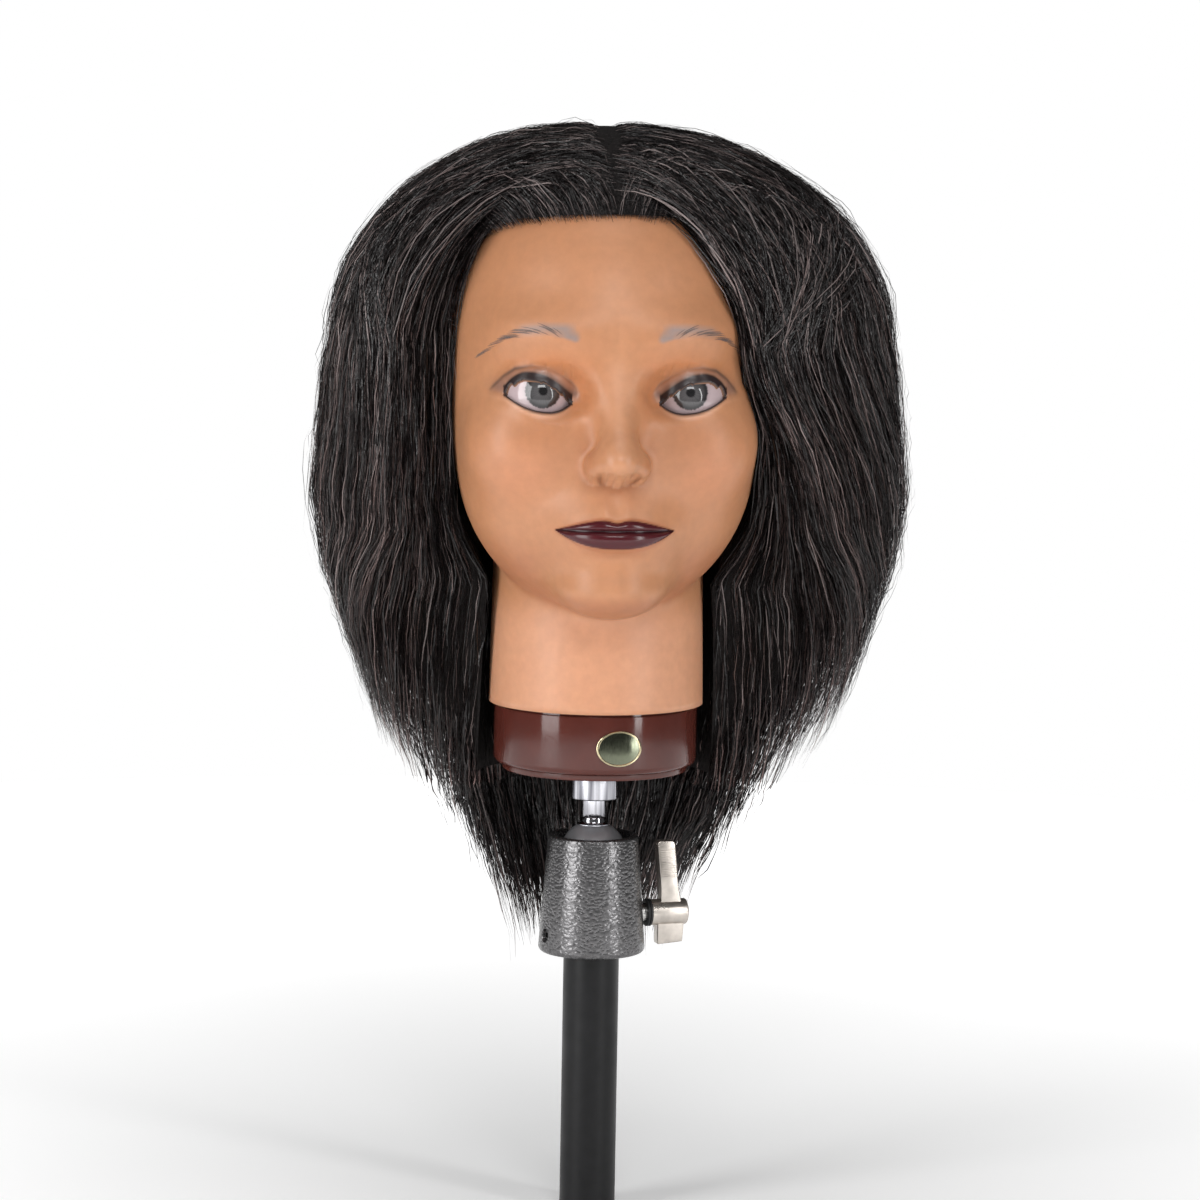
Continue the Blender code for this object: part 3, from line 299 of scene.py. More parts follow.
ACETAL = worn("black_acetal", (0.018, 0.018, 0.018), 0.38, scale=220)
FOAM = worn("rigid_foam", (0.78, 0.68, 0.46), 0.9, scale=900, spread=0.12, dent=0.8)
BROWN = gloss_brown()
HAMMERTONE = hammertone()


# Holder

LEVER_FACE, LEVER_BORE = 27.425 * MM, 4.3 * MM
BOSS_LENGTH, BOSS_RADIUS = 17.4 * MM, 6.0 * MM
ARM_MIDDLE = LEVER_FACE + BOSS_LENGTH / 2
ARM_LEAN, ARM_FOOT = math.radians(5.3), 11.8 * MM
ARM_HALF_WIDTH, ARM_HALF_THICKNESS = 4.2 * MM, 3.2 * MM


def make_pole():
    low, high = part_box("pole")
    radius, wall = high.x, 1.5 * MM
    tube = [(radius - wall, low.z), (radius - 0.3 * MM, low.z), (radius, low.z + 0.3 * MM),
            (radius, high.z - 0.3 * MM), (radius - 0.3 * MM, high.z), (radius - wall, high.z)]
    stand_for(turned("stand_pole", tube, BLACK_TUBE), "stand", "black_tube", "pole")
    low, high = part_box("pole_end_plug")
    step, inner = 2.5 * MM, radius - wall - 0.3 * MM
    plug = [(0, 0.6 * MM), (5 * MM, 0.6 * MM), (6 * MM, 0),
            *arc(radius - 0.6 * MM, 0.6 * MM, 0.6 * MM, -90, 0, 4),
            (radius, step), (inner, step), (inner, high.z), (0, high.z)]
    stand_for(turned("stand_end_plug", plug, BLACK_PLASTIC), "stand", "black_plastic", "pole_end_plug")


def make_housing():
    """A tapered casting with a chamber for the ball, a slot in its rim and bores for both screws."""
    low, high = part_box("clamp_housing")
    foot_radius, rim_radius, chamber = high.x + 0.25 * MM, 20.6 * MM, 17.0 * MM
    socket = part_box("pole")[1].x + 0.3 * MM
    bottom, top = low.z, high.z
    slope = (foot_radius - rim_radius) / (top - bottom)
    edge, lip, inner_lip = 2.6 * MM, 1.2 * MM, 0.8 * MM
    foot = arc(foot_radius - slope * edge - edge, bottom + edge, edge, -90, 0, 8)
    rim = arc(rim_radius - lip, top - lip, lip, 0, 90, 6)
    mouth = arc(chamber + inner_lip, top - inner_lip, inner_lip, 90, 180, 4)
    floor, ceiling = bottom + 15.0 * MM, bottom + 11.7 * MM
    profile = [(socket, bottom), *foot, *rim, *mouth, (chamber, floor), (0, floor), (0, ceiling),
               (socket, ceiling)]
    housing = turned("clamp_casting", profile, HAMMERTONE, sides=144)
    half, above = 7.9 * MM, 20 * MM
    outline = [(half * math.cos(a), half * math.sin(a)) for a in np.linspace(math.pi, 2 * math.pi, 25)]
    slot = extruded("slot", [*outline, (half, above), (-half, above)], 0, 40 * MM, HAMMERTONE)
    combine(housing, placed(slot, BALL_Z, SLOT_AZIMUTH - math.pi / 2))
    bore = turned("bore", pin(0, LEVER_BORE, 40 * MM), HAMMERTONE, 48)
    combine(housing, placed(bore, LEVER_Z, LEVER_AZIMUTH, lying=True))
    tight, wide = 2.8 * MM, 3.6 * MM
    hole = [(0, 13 * MM), (tight, 13 * MM), (tight, 23.0 * MM), (wide, 24.6 * MM), (wide, 40 * MM),
            (0, 40 * MM)]
    combine(housing, placed(turned("hole", hole, HAMMERTONE, 40), SET_SCREW_Z, SET_SCREW_AZIMUTH, lying=True))
    stand_for(housing, "stand", "hammertone_casting", "clamp_housing")


def make_set_screw():
    start, end, pitch = 13.0 * MM, 22.6 * MM, 0.8 * MM
    thread = []
    for k in range(11):
        root = start + 0.3 * MM + k * pitch
        thread += [(2.15 * MM, root), (2.5 * MM, root + pitch / 2)]
    screw = [(0, start), (2.0 * MM, start), *thread, (2.3 * MM, end), (0, end)]
    grub = placed(turned("grub_screw", screw, BLACK_STEEL, 40), SET_SCREW_Z, SET_SCREW_AZIMUTH, lying=True)
    key = turned("key", pin(end - 3 * MM, 1.45 * MM, end + MM), BLACK_STEEL, 6)
    combine(grub, placed(key, SET_SCREW_Z, SET_SCREW_AZIMUTH, lying=True))
    stand_for(grub, "stand", "black_steel", "set_screw")


def make_ball_and_stud():
    radius = (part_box("ball")[1].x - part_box("ball")[0].x) / 2
    ball = placed(turned("tilt_ball", arc(0, 0, radius, -90, 90, 48), GUNMETAL), BALL_Z)
    stand_for(ball, "ball", "gunmetal", "ball")
    low, high = 25.5 * MM, 39.0 * MM
    seat = radius + 0.3 * MM
    foot_r, stem, collar, spigot, end = 7.4 * MM, 5.85 * MM, 11.7 * MM, 7.0 * MM, 104.0 * MM
    foot = arc(0, 0, seat, 90, math.degrees(math.acos(foot_r / seat)), 10)
    shelf = foot[-1][1] + 1.3 * MM
    grooves = [(stem, low - 9 * MM), (stem - 0.25 * MM, low - 8.6 * MM), (stem, low - 8.2 * MM)]
    flare = foot_r - stem
    profile = [*foot, (foot_r, shelf - 0.9 * MM), *arc(foot_r, shelf - 0.9 * MM + flare, flare, 270, 180, 8),
               *grooves, (stem, low), (collar - 0.9 * MM, low),
               *arc(collar - 0.9 * MM, low + 0.9 * MM, 0.9 * MM, -90, 0, 5),
               (collar, high - 3.2 * MM), (collar - 0.35 * MM, high - 3.0 * MM),
               (collar - 0.35 * MM, high - 2.6 * MM),
               (collar, high - 2.4 * MM), (collar, high - 0.5 * MM), (collar - 0.5 * MM, high),
               (spigot, high),
               (spigot, end), (3.3 * MM, end), (3.3 * MM, end - 16 * MM), (0, end - 16 * MM)]
    stud = placed(turned("tilt_stud", profile, ALUMINIUM), BALL_Z)
    stand_for(stud, "stud", "polished_aluminium", "stud")


def make_lever():
    """A boss on the clamp screw, a finger arm that leans inwards and a short tail."""
    outer, edge, chamfer = LEVER_FACE + BOSS_LENGTH, 0.9 * MM, 0.3 * MM
    boss = [(0, LEVER_FACE), (BOSS_RADIUS - chamfer, LEVER_FACE), (BOSS_RADIUS, LEVER_FACE + chamfer),
            *arc(BOSS_RADIUS - edge, outer - edge, edge, 0, 90, 5),
            (2.2 * MM, outer), (1.8 * MM, outer - 0.5 * MM), (0, outer - 0.5 * MM)]
    lever = turned("tilt_lever", boss, NICKEL, 72)
    lever.data.transform(Matrix.Rotation(math.pi / 2, 4, "Y"))
    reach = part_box("lever")[1].z - LEVER_Z
    half, foot = ARM_HALF_WIDTH, 5.5 * MM
    end = ARM_MIDDLE - (reach - ARM_FOOT) * math.tan(ARM_LEAN)
    arm = [(ARM_MIDDLE - foot + 1.5 * MM, -MM), (ARM_MIDDLE + foot + 1.5 * MM, -MM),
           (ARM_MIDDLE + half, ARM_FOOT),
           (end + half, reach - MM), (end + half - MM, reach), (end - half + MM, reach),
           (end - half, reach - MM),
           (ARM_MIDDLE - half, ARM_FOOT)]
    thick = ARM_HALF_THICKNESS
    combine(lever, extruded("arm", arm, -thick, thick, NICKEL, 0.5 * MM), "UNION")
    tail = [(ARM_MIDDLE - 5.5 * MM, -14.6 * MM), (ARM_MIDDLE + 6.5 * MM, -13.6 * MM),
            (ARM_MIDDLE + 7.5 * MM, 0),
            (ARM_MIDDLE - 5.5 * MM, 0)]
    combine(lever, extruded("tail", tail, -thick, thick, NICKEL, 0.6 * MM), "UNION")
    bore = turned("bore", pin(LEVER_FACE - 9 * MM, LEVER_BORE, LEVER_FACE + 12.3 * MM), NICKEL, 48)
    bore.data.transform(Matrix.Rotation(math.pi / 2, 4, "Y"))
    combine(lever, bore)
    stand_for(placed(lever, LEVER_Z, LEVER_AZIMUTH), "lever", "nickel_casting", "lever")


def make_grip_ribs():
    """Thirteen ribs on each face of the lever's arm."""
    half, height, proud = 3.5 * MM, 0.6 * MM, 0.4 * MM
    ribs = []
    for k in range(13):
        low = ARM_FOOT + 4.5 * MM + k * 1.1 * MM
        centre = ARM_MIDDLE - (low - ARM_FOOT) * math.tan(ARM_LEAN)
        outline = [(centre - half, low), (centre + half, low), (centre + half, low + height),
                   (centre - half, low + height)]
        for face in (-ARM_HALF_THICKNESS - proud, ARM_HALF_THICKNESS):
            ribs.append(extruded("rib", outline, face, face + proud, NICKEL, 0.12 * MM))
    stand_for(placed(join("lever_grip_ribs", ribs), LEVER_Z, LEVER_AZIMUTH), "lever", "nickel_casting")


def make_lever_washer():
    """A grooved spacer between the housing and the lever."""
    face, radius, groove = 25.125 * MM, 6.3 * MM, 5.9 * MM
    washer = [(LEVER_BORE, face), (groove, face), (radius, face + 0.4 * MM), (radius, face + 1.0 * MM),
              (groove, face + 1.3 * MM), (radius, face + 1.6 * MM), (radius, face + 2.3 * MM),
              (6.0 * MM, face + 2.6 * MM), (LEVER_BORE, face + 2.6 * MM)]
    ring = placed(turned("spacer_washer", washer, BLACK_PLASTIC, 64), LEVER_Z, LEVER_AZIMUTH, lying=True)
    stand_for(ring, "lever", "black_plastic", "lever_washer")


def join(name, objects):
    """One piece from several, keeping the first one's material."""
    bm = bmesh.new()
    for obj in objects:
        bm.from_mesh(obj.data)
    mat = objects[0].data.materials[0]
    for obj in objects:
        bpy.data.objects.remove(obj)
    return from_bmesh(name, bm, mat)


def make_neck_ring():
    low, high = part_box("neck_base")
    radius, bottom, top = high.x, low.z, high.z
    edge, inner, hole = 3.2 * MM, radius - 3.3 * MM, 13.6 * MM
    cup = [(hole, bottom), *arc(radius - edge, bottom + edge, edge, -90, 0, 10), (radius, top - 1.6 * MM),
           *arc(radius - 0.5 * MM, top - 1.4 * MM, 0.5 * MM, 0, 90, 4), (radius - 1.0 * MM, top - 0.9 * MM),
           (radius - 1.0 * MM, top), (inner, top), (inner, bottom + 3 * MM), (hole, bottom + 3 * MM)]
    ring = turned("neck_ring", cup, BROWN, 160)
    cut_screw_holes(ring)
    stand_for(ring, "head", "brown_gloss", "neck_base")
    low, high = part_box("base_plate")
    plate = [(10.8 * MM, low.z), (high.x - 0.8 * MM, low.z),
             *arc(high.x - 0.8 * MM, low.z + 0.8 * MM, 0.8 * MM, -90, 0, 5),
             (high.x, high.z), (10.8 * MM, high.z)]
    disc = turned("foot_plate", plate, BROWN, 144)
    cut_screw_holes(disc)
    stand_for(disc, "head", "brown_gloss", "base_plate")


def cut_screw_holes(obj):
    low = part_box("base_plate")[0].z
    for name in ("base_screw_1", "base_screw_2", "base_screw_3"):
        a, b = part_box(name)
        head = [(0, low - MM), (3.9 * MM, low - MM), (3.9 * MM, low + 0.4 * MM), (2.1 * MM, low + 2.2 * MM),
                (2.1 * MM, low + 17 * MM), (0, low + 17 * MM)]
        cutter = turned("screw_hole", head, BROWN, 32)
        cutter.data.transform(Matrix.Translation(((a.x + b.x) / 2, (a.y + b.y) / 2, 0)))
        combine(obj, cutter)


def make_badge():
    """A plain domed oval plate on the ring's front, with a raised rim."""
    low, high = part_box("badge")
    ring_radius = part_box("neck_base")[1].x
    azimuth = math.radians(-81)
    centre = (low.z + high.z) / 2
    half_w, half_h = 10.2 * MM, (high.z - low.z) / 2
    shares = [(1.0, 0.3), (1.0, 0.75), (0.97, 0.95), (0.92, 0.95), (0.89, 0.7), (0.6, 0.85), (0.3, 0.93)]
    turns = np.linspace(0, 2 * math.pi, 96, endpoint=False)
    bm = bmesh.new()
    rings = []
    for share, lift in shares:
        across, up = half_w * share * np.cos(turns), half_h * share * np.sin(turns)
        angle = azimuth + across / ring_radius
        reach = ring_radius + lift * MM
        places = zip(reach * np.cos(angle), reach * np.sin(angle), centre + up)
        rings.append([bm.verts.new(place) for place in places])
    for lower, upper in zip(rings, rings[1:]):
        for i in range(len(turns)):
            j = (i + 1) % len(turns)
            bm.faces.new((lower[i], lower[j], upper[j], upper[i]))
    bm.faces.new(rings[-1])
    bm.faces.new(rings[0][::-1])
    dark = brushed("badge_face", (0.13, 0.14, 0.10), 0.14, (14, 14, 1), dent=0.05)
    brass = worn("badge_rim", (0.60, 0.52, 0.33), 0.22, 1.0, spread=0.1)
    badge = from_bmesh("oval_badge", bm, dark)
    badge.data.materials.append(brass)
    middle = Vector((ring_radius * math.cos(azimuth), ring_radius * math.sin(azimuth), centre))
    for face in badge.data.polygons:
        away = face.center - middle
        share = math.hypot(Vector((away.x, away.y)).length / half_w, away.z / half_h)
        face.material_index = int(share > 0.9)
    stand_for(badge, "head", "brushed_brass", "badge")


# Head: every point of the skin is where a ray from the head's axis leaves a smooth field

def ellipsoid(points, centre, radii):
    scaled = (points - np.array(centre) * MM) / (np.array(radii) * MM)
    near = np.linalg.norm(scaled, axis=-1)
    slope = np.linalg.norm(scaled / (np.array(radii) * MM), axis=-1)
    return near * (near - 1) / np.maximum(slope, 1e-9)


def capsule(points, a, b, radius_a, radius_b):
    a, b = np.array(a) * MM, np.array(b) * MM
    share = np.clip(((points - a) @ (b - a)) / ((b - a) @ (b - a)), 0, 1)
    radius = (radius_a + (radius_b - radius_a) * share) * MM
    return np.linalg.norm(points - a - share[..., None] * (b - a), axis=-1) - radius


def blend(first, second, width):
    share = np.clip(0.5 + 0.5 * (second - first) / (width * MM), 0, 1)
    return second * (1 - share) + first * share - width * MM * share * (1 - share)


def carve(shape, hollow, width):
    return -blend(-shape, hollow, width)


def smooth(value, start, end):
    t = np.clip((value - start) / (end - start), 0, 1)
    return t * t * (3 - 2 * t)


def bell(value, width):
    return np.exp(-(value / width) ** 2)


EYE_X, EYE_H, EYE_Y = 32.5, 148.5, -67.0
BALL_R, LID = 17.0, 1.35


def eye_frame(half):
    """Across and up from the eye's centre, in mm; across is positive towards the ear."""
    return half[..., 0] / MM - EYE_X, half[..., 2] / MM - EYE_H


def lid_edges(across):
    """Heights of the upper and lower lid edge; the outer corner is the higher one."""
    share = np.clip((across - 1.3) / 14.3, -1, 1)
    line = 0.11 * (across - 1.3) - 2.0
    arch, sag = share - 0.18 * (1 - share ** 2), share + 0.12 * (1 - share ** 2)
    return line + 7.5 * (1 - np.abs(arch) ** 2.2), line - 5.0 * (1 - np.abs(sag) ** 2.3)


CREASE = np.array([(-17.0, 0.8), (-13.4, 5.2), (-8.3, 8.8), (-1.9, 11.9), (4.5, 12.6), (11.4, 11.0),
                   (16, 7.6), (21.5, 1.4)])


def crease_height(across):
    return np.interp(across, CREASE[:, 0], CREASE[:, 1])


def mouth_lines(x):
    """Heights of the upper edge, the parting line and the lower edge of the lips, in mm."""
    share = np.clip(np.abs(x) / 26.3, 0, 1)
    parting = 91.0 - 0.7 * share ** 2
    upper = parting + 5.4 * (1 - share ** 1.7) - 1.6 * bell(x, 3.6)
    lower = parting - 7.9 * (1 - share ** 2.4)
    return upper, parting, lower


def lips(points):
    x, h = points[..., 0] / MM, points[..., 2] / MM
    upper, parting, lower = mouth_lines(x)
    reach = np.clip(1 - (np.abs(x) / 27.0) ** 2.2, 0, 1)
    top = np.clip((h - parting) / np.maximum(upper - parting, 0.3), 0, 1.6)
    bottom = np.clip((parting - h) / np.maximum(parting - lower, 0.3), 0, 1.6)
    swell_top = 2.0 * np.clip(1 - ((top - 0.42) / 0.75) ** 2, 0, 1) * (h >= parting)
    swell_bottom = 2.9 * np.clip(1 - ((bottom - 0.5) / 0.72) ** 2, 0, 1) * (h < parting)
    groove = -1.5 * bell(h - parting, 0.75)
    under = -1.3 * bell(h - lower + 4.2, 3.4) * bell(x, 15)
    philtrum = -0.7 * bell(x, 3.0) * bell(h - 101, 5) + 0.35 * bell(np.abs(x) - 5.2, 2.0) * bell(h - 100, 5)
    return ((swell_top + swell_bottom + groove) * reach ** 0.6 + under + philtrum) * MM


def creases(half):
    """Lid fold over the eye and a soft pouch under it."""
    across, up = eye_frame(half)
    upper, lower = lid_edges(across)
    reach = bell(across, 15.5)
    fold = -0.9 * bell(up - crease_height(across), 1.2) * reach
    pouch = 0.5 * bell(up - lower + 4.5, 2.6) * reach
    return (fold + pouch) * MM


def head_field(points):
    half = np.concatenate([np.abs(points[..., :1]), points[..., 1:]], axis=-1)
    skull = ellipsoid(points, (0, -1, 167), (74, 91, 92))
    face = ellipsoid(points, (0, -30, 122), (67, 60, 75))
    across = np.hypot(points[..., 0], points[..., 1])
    neck_top = 102 * MM
    taper = np.clip(points[..., 2] / neck_top, 0, 1) * 1.6 * MM
    neck = np.maximum(across - 48.6 * MM + taper, points[..., 2] - neck_top)
    shape = blend(blend(skull, face, 14), neck, 5)
    shape = carve(shape, ellipsoid(half, (28, -96, 150), (18, 20, 13)), 6)
    shape = blend(shape, ellipsoid(points, (0, -69, 64.5), (24, 24, 15)), 14)
    shape = blend(shape, ellipsoid(points, (0, -64, 91), (31, 34, 25)), 10)
    shape = blend(shape, ellipsoid(half, (40, -61, 126), (22, 22, 22)), 14)
    shape = blend(shape, ellipsoid(half, (20, -60, 176), (32, 29, 12)), 12)
    shape = blend(shape, capsule(points, (0, -79, 161), (0, -101, 127), 6.5, 7.6), 10)
    shape = blend(shape, ellipsoid(points, (0, -103.5, 121.5), (9.2, 11.0, 7.2)), 9)
    shape = blend(shape, ellipsoid(half, (9.8, -96.5, 118.4), (4.6, 8.0, 5.4)), 6)
    shape = carve(shape, ellipsoid(half, (6.4, -102.5, 112.6), (3.0, 4.6, 3.2)), 1.4)
    front = smooth(-points[..., 1] / MM, 55, 70)
    shape = shape - (lips(points) + creases(half)) * front
    return eyes_into(shape, half)


def eyes_into(shape, half):
    """Lids swell over the eyeball; between them the skin drops behind its surface."""
    centre = np.array([EYE_X, EYE_Y, EYE_H]) * MM
    from_ball = np.linalg.norm(half - centre, axis=-1)
    shape = blend(shape, from_ball - (BALL_R + LID) * MM, 3.5)
    across, up = eye_frame(half)
    upper, lower = lid_edges(across)
    inside = np.minimum(np.minimum(upper - up, up - lower), 14.6 - np.abs(across - 1.3))
    sunk = smooth(np.where(half[..., 1] < centre[1], inside, -9.0), -0.45, 0.45)
    recess = np.maximum(shape, from_ball - (BALL_R - 1.2) * MM)
    return shape * (1 - sunk) + recess * sunk


def ray_hits(origins, directions, field):
    steps = np.linspace(0.165, 0.03, 46)
    low, high = np.full(len(origins), steps[-1]), np.full(len(origins), steps[0])
    live = np.arange(len(origins))
    for outer, inner in zip(steps, steps[1:]):
        hit = field(origins[live] + directions[live] * inner) < 0
        low[live[hit]], high[live[hit]] = inner, outer
        live = live[~hit]
    for _ in range(9):
        middle = (low + high) / 2
        outside = field(origins + directions * middle[:, None]) >= 0
        high, low = np.where(outside, middle, high), np.where(outside, low, middle)
    return (low + high) / 2


def spaced(*stretches):
    """Angles in degrees from (start, end, step) stretches."""
    return np.concatenate([np.arange(a, b, s) for a, b, s in stretches])


def rays(azimuths, heights, slopes):
    azimuth, height = np.meshgrid(azimuths, heights)
    slope = np.broadcast_to(np.asarray(slopes)[:, None], azimuth.shape)
    origins = np.stack([0 * height, 0 * height, height], axis=-1)
    level = np.cos(slope)
    directions = np.stack([np.sin(azimuth) * level, -np.cos(azimuth) * level, np.sin(slope)], axis=-1)
    return origins.reshape(-1, 3), directions.reshape(-1, 3)


FAN_H = 85 * MM


def head_grid():
    """Points (rows, columns, 3) of the head above its neck's edge, finest at the eyes and the mouth."""
    fine = 0.34
    half = spaced((0, 8, 0.45), (8, 33, 0.8 * fine), (33, 44, 0.6), (44, 62, 1.3), (62, 180, 3.4))
    azimuths = np.radians(np.concatenate([half, -half[1:][::-1]]))
    neck = np.linspace(NECK_TRIM / MM, 30, 10) * MM
    fan = np.radians(spaced((-47, -22, 0.9), (-22, -8, 0.7), (-8, 12, fine), (12, 32, 0.5),
                            (32, 43.5, 0.6 * fine),
                            (43.5, 66, 1.2), (66, 89, 2.4)))
    heights = np.concatenate([neck, np.full(len(fan), FAN_H)])
    slopes = np.concatenate([0 * neck, fan])
    origins, directions = rays(azimuths, heights, slopes)
    reach = ray_hits(origins, directions, head_field)
    return (origins + directions * reach[:, None]).reshape(len(heights), len(azimuths), 3)


SKIN = np.array([0.485, 0.222, 0.110])
BROW_PATH = np.array([(17.5, 174.3), (24, 176.4), (32, 177.3), (41, 176.2), (50, 171.6), (58.5, 163.5)])


def mixed(colour, other, amount):
    return colour + (np.array(other) - colour) * np.clip(amount, 0, 1)[..., None]


def skin_tones(points, across, up):
    """Layers of (colour, amount): a lighter neck, painted shadow under the jaw, blush, eyeshadow, painted
    shade at the inner eye corners, under the eyes, beside and under the nose and in the nostrils, and a
    painted highlight along the nose's ridge.
    """
    x, y, h = np.abs(points[..., 0]) / MM, points[..., 1] / MM, points[..., 2] / MM
    step = np.array([0, 0, MM])
    slope = (head_field(points + step) - head_field(points - step)) / (2 * MM)
    # painted shadow: darker where the skin faces down, under the jaw
    painted_jaw_shadow = smooth(-slope, 0.12, 0.75) * smooth(h, 42, 50) * smooth(-h, -92, -72)
    front = smooth(-y, 45, 62)
    # painted shade in the nostrils, which are only shallow dents in the skin
    painted_nostril_shade = bell(x - 6.6, 2.6) * bell(h - 114.0, 1.9) * smooth(-y, 92, 97)
    # painted shade on the nose's sides and under its tip
    nose = bell(x - 13, 4) * bell(h - 121, 9) + bell(x, 9) * bell(h - 110.5, 4)
    return [
        ((0.60, 0.295, 0.170), smooth(-h, -58, -40)),
        ((0.40, 0.155, 0.075), painted_jaw_shadow * 0.75),
        ((0.55, 0.225, 0.118), bell(x - 42, 17) * bell(h - 116, 17) * front * 0.45),
        ((0.50, 0.17, 0.050), bell(across + 2.5, 15) * bell(up - 12.0, 8.0) * front * 0.7),
        # painted shade at the inner corners of the eyes, beside the nose's root
        ((0.52, 0.20, 0.085), bell(across + 17, 6) * bell(up - 3, 12) * front * 0.6),
        # painted shade under the eyes
        ((0.42, 0.17, 0.075), bell(across, 16) * bell(up + 15, 7) * front * 0.6),
        ((0.42, 0.17, 0.08), nose * front * 0.6),
        # painted shade beside the nose's bridge
        ((0.50, 0.20, 0.085), bell(x - 14, 6) * bell(h - 146, 16) * front * 0.5),
        # painted highlight: lighter along the nose's ridge
        ((0.62, 0.315, 0.18), bell(x, 5.5) * bell(h - 140, 30) * front * 0.5),
        ((0.10, 0.028, 0.015), painted_nostril_shade * 0.9)]


def lip_tones(x, h, front):
    """Layers of the dark lips, with painted shade in the groove where they part, and where the lips are."""
    top, parting, bottom = mouth_lines(x)
    mouth = smooth(np.minimum(top - h, h - bottom), -0.25, 0.35) * (x < 26.6) * front
    halo = bell(np.minimum(np.abs(h - top), np.abs(h - bottom)), 1.2) * bell(x - 14, 10) * front
    return [
        ((0.45, 0.14, 0.09), halo * 0.35 * (mouth < 0.5)),
        ((0.070, 0.0098, 0.0135), mouth),
        # painted shade: a dark line in the groove where the lips part
        ((0.016, 0.004, 0.006), mouth * bell(h - parting, 0.55))], mouth


def lid_tones(across, up, front):
    """Layers of the shaded lid, its crease line, which is also painted shade of the fold, the liner and a
    painted highlight under the lower lid, and where the lid is.
    """
    upper, lower = lid_edges(across)
    crease_h = crease_height(across)
    wide = smooth(across, -18, -14) * (1 - smooth(across, 20, 23)) * front
    lid = smooth(np.minimum(crease_h - up, up - upper), 0.1, 1.6) * wide
    smoke = bell(up - upper - 4.4, 2.0) * smooth(6 - across, -3, 8) * lid
    wing = bell(across - 16, 4.5) * bell(up - upper - 3, 3.2) * front
    # dark crease line, painted on and also painted shade of the fold it lies in
    crease_line_and_shade = (0.85 * bell(up - crease_h, 0.9) + 0.35 * bell(up - crease_h + 1.0, 2.4)) * wide
    weight = np.interp(across, (-17, -8, 3, 12, 18), (0.55, 0.38, 0.42, 0.75, 0.6))
    above = np.maximum(np.abs(up - upper - 2.1) - 1.5, 0)
    edge = np.minimum(above, np.abs(up - lower + 0.2))
    line = np.where(up > (upper + lower) / 2, 0.8, 0.75)
    liner = bell(edge, line) * (np.abs(across - 1.3) < 14.9) * front
    # painted highlight: a pale band just under the lower lid's liner
    rim = bell(up - lower + 2.0, 0.9) * bell(across - 3, 13) * front
    return [
        ((0.44, 0.225, 0.145), lid * 0.7),
        ((0.11, 0.088, 0.085), smoke * 0.6),
        ((0.15, 0.095, 0.085), wing * 0.55),
        ((0.095, 0.060, 0.052), crease_line_and_shade * weight),
        ((0.022, 0.013, 0.013), liner),
        # painted highlight under the lower lid
        ((0.80, 0.50, 0.36), rim * 0.35)], lid


def brow_tone(x, h, front):
    along = np.interp(x, BROW_PATH[:, 0], BROW_PATH[:, 1])
    brow_half = np.interp(x, (16, 19, 32, 48, 58), (1.2, 2.6, 2.1, 0.9, 0.3))
    brow = smooth(brow_half - np.abs(h - along), -0.9, 0.9) * smooth(x, 16.0, 19) * (x < 58) * front
    fade = np.interp(x, (17, 24, 40, 54), (0.85, 0.85, 0.6, 0.1))
    return (0.25, 0.205, 0.195), brow * fade


def scalp_tone(x, y, h):
    """Dark behind the hairline, so that no skin shows between the strands."""
    hairline = (x / 69.5) ** 4.2 + (np.clip(h - 150, 0, 99) / 76.5) ** 4.2
    over_face = smooth(hairline, 0.97, 1.06) * (h > 150)
    behind = smooth(y - np.clip(150 - h, 0, 90) * 0.35, -14, -8) * (h > 62)
    return (0.020, 0.014, 0.013), np.maximum(over_face, behind)


def paint(points):
    """Colour and gloss painted on the skin, from each point's place."""
    half = np.concatenate([np.abs(points[..., :1]), points[..., 1:]], axis=-1)
    x, y, h = (half[..., k] / MM for k in range(3))
    front = smooth(-y, 45, 62)
    across, up = eye_frame(half)
    lips_painted, mouth = lip_tones(x, h, front)
    lids_painted, lid = lid_tones(across, up, front)
    colour = np.broadcast_to(SKIN, points.shape).copy()
    layers = [*skin_tones(points, across, up), *lips_painted, *lids_painted]
    for shade, amount in [*layers, brow_tone(x, h, front), scalp_tone(x, y, h)]:
        colour = mixed(colour, shade, amount)
    gloss = np.clip(mouth + 0.55 * lid + 0.25 * bell(x, 14) * bell(h - 124, 16) * front, 0, 1)
    return colour, gloss


def painted_skin():
    mat = finish("vinyl_skin", SKIN, 0.42, Subsurface_Weight=0.12, Subsurface_Scale=0.003,
                 Subsurface_Radius=(1.0, 0.4, 0.2), Specular_IOR_Level=0.42)
    colour = node(mat, "ShaderNodeVertexColor", layer_name="paint").outputs[0]
    mottle = between(mat, noise(mat, 220, 4), 0.95, 1.05)
    tint = node(mat, "ShaderNodeVectorMath", {0: colour}, operation="SCALE")
    mat.node_tree.links.new(mottle, tint.inputs["Scale"])
    connect(mat, tint.outputs[0], "Base Color")
    gloss = node(mat, "ShaderNodeAttribute", attribute_name="gloss").outputs["Fac"]
    base = between(mat, noise(mat, 90, 4), 0.38, 0.47)
    connect(mat, between(mat, gloss, base, 0.2, 0.0, 1.0), "Roughness")
    return bump(mat, noise(mat, 1500, 3), 0.05, 0.06 * MM)


def stitched(rings):
    """Quads between rings of points, and triangles to a point at each end."""
    rows, columns = rings.shape[:2]
    index = np.arange(rows * columns).reshape(rows, columns)
    after = np.roll(index, -1, axis=1)
    quads = np.stack([index[:-1], after[:-1], after[1:], index[1:]], axis=-1).reshape(-1, 4)
    top = np.full(columns, rows * columns)
    triangles = [np.stack([index[-1], after[-1], top], -1), np.stack([after[0], index[0], top + 1], -1)]
    return quads, np.concatenate(triangles)


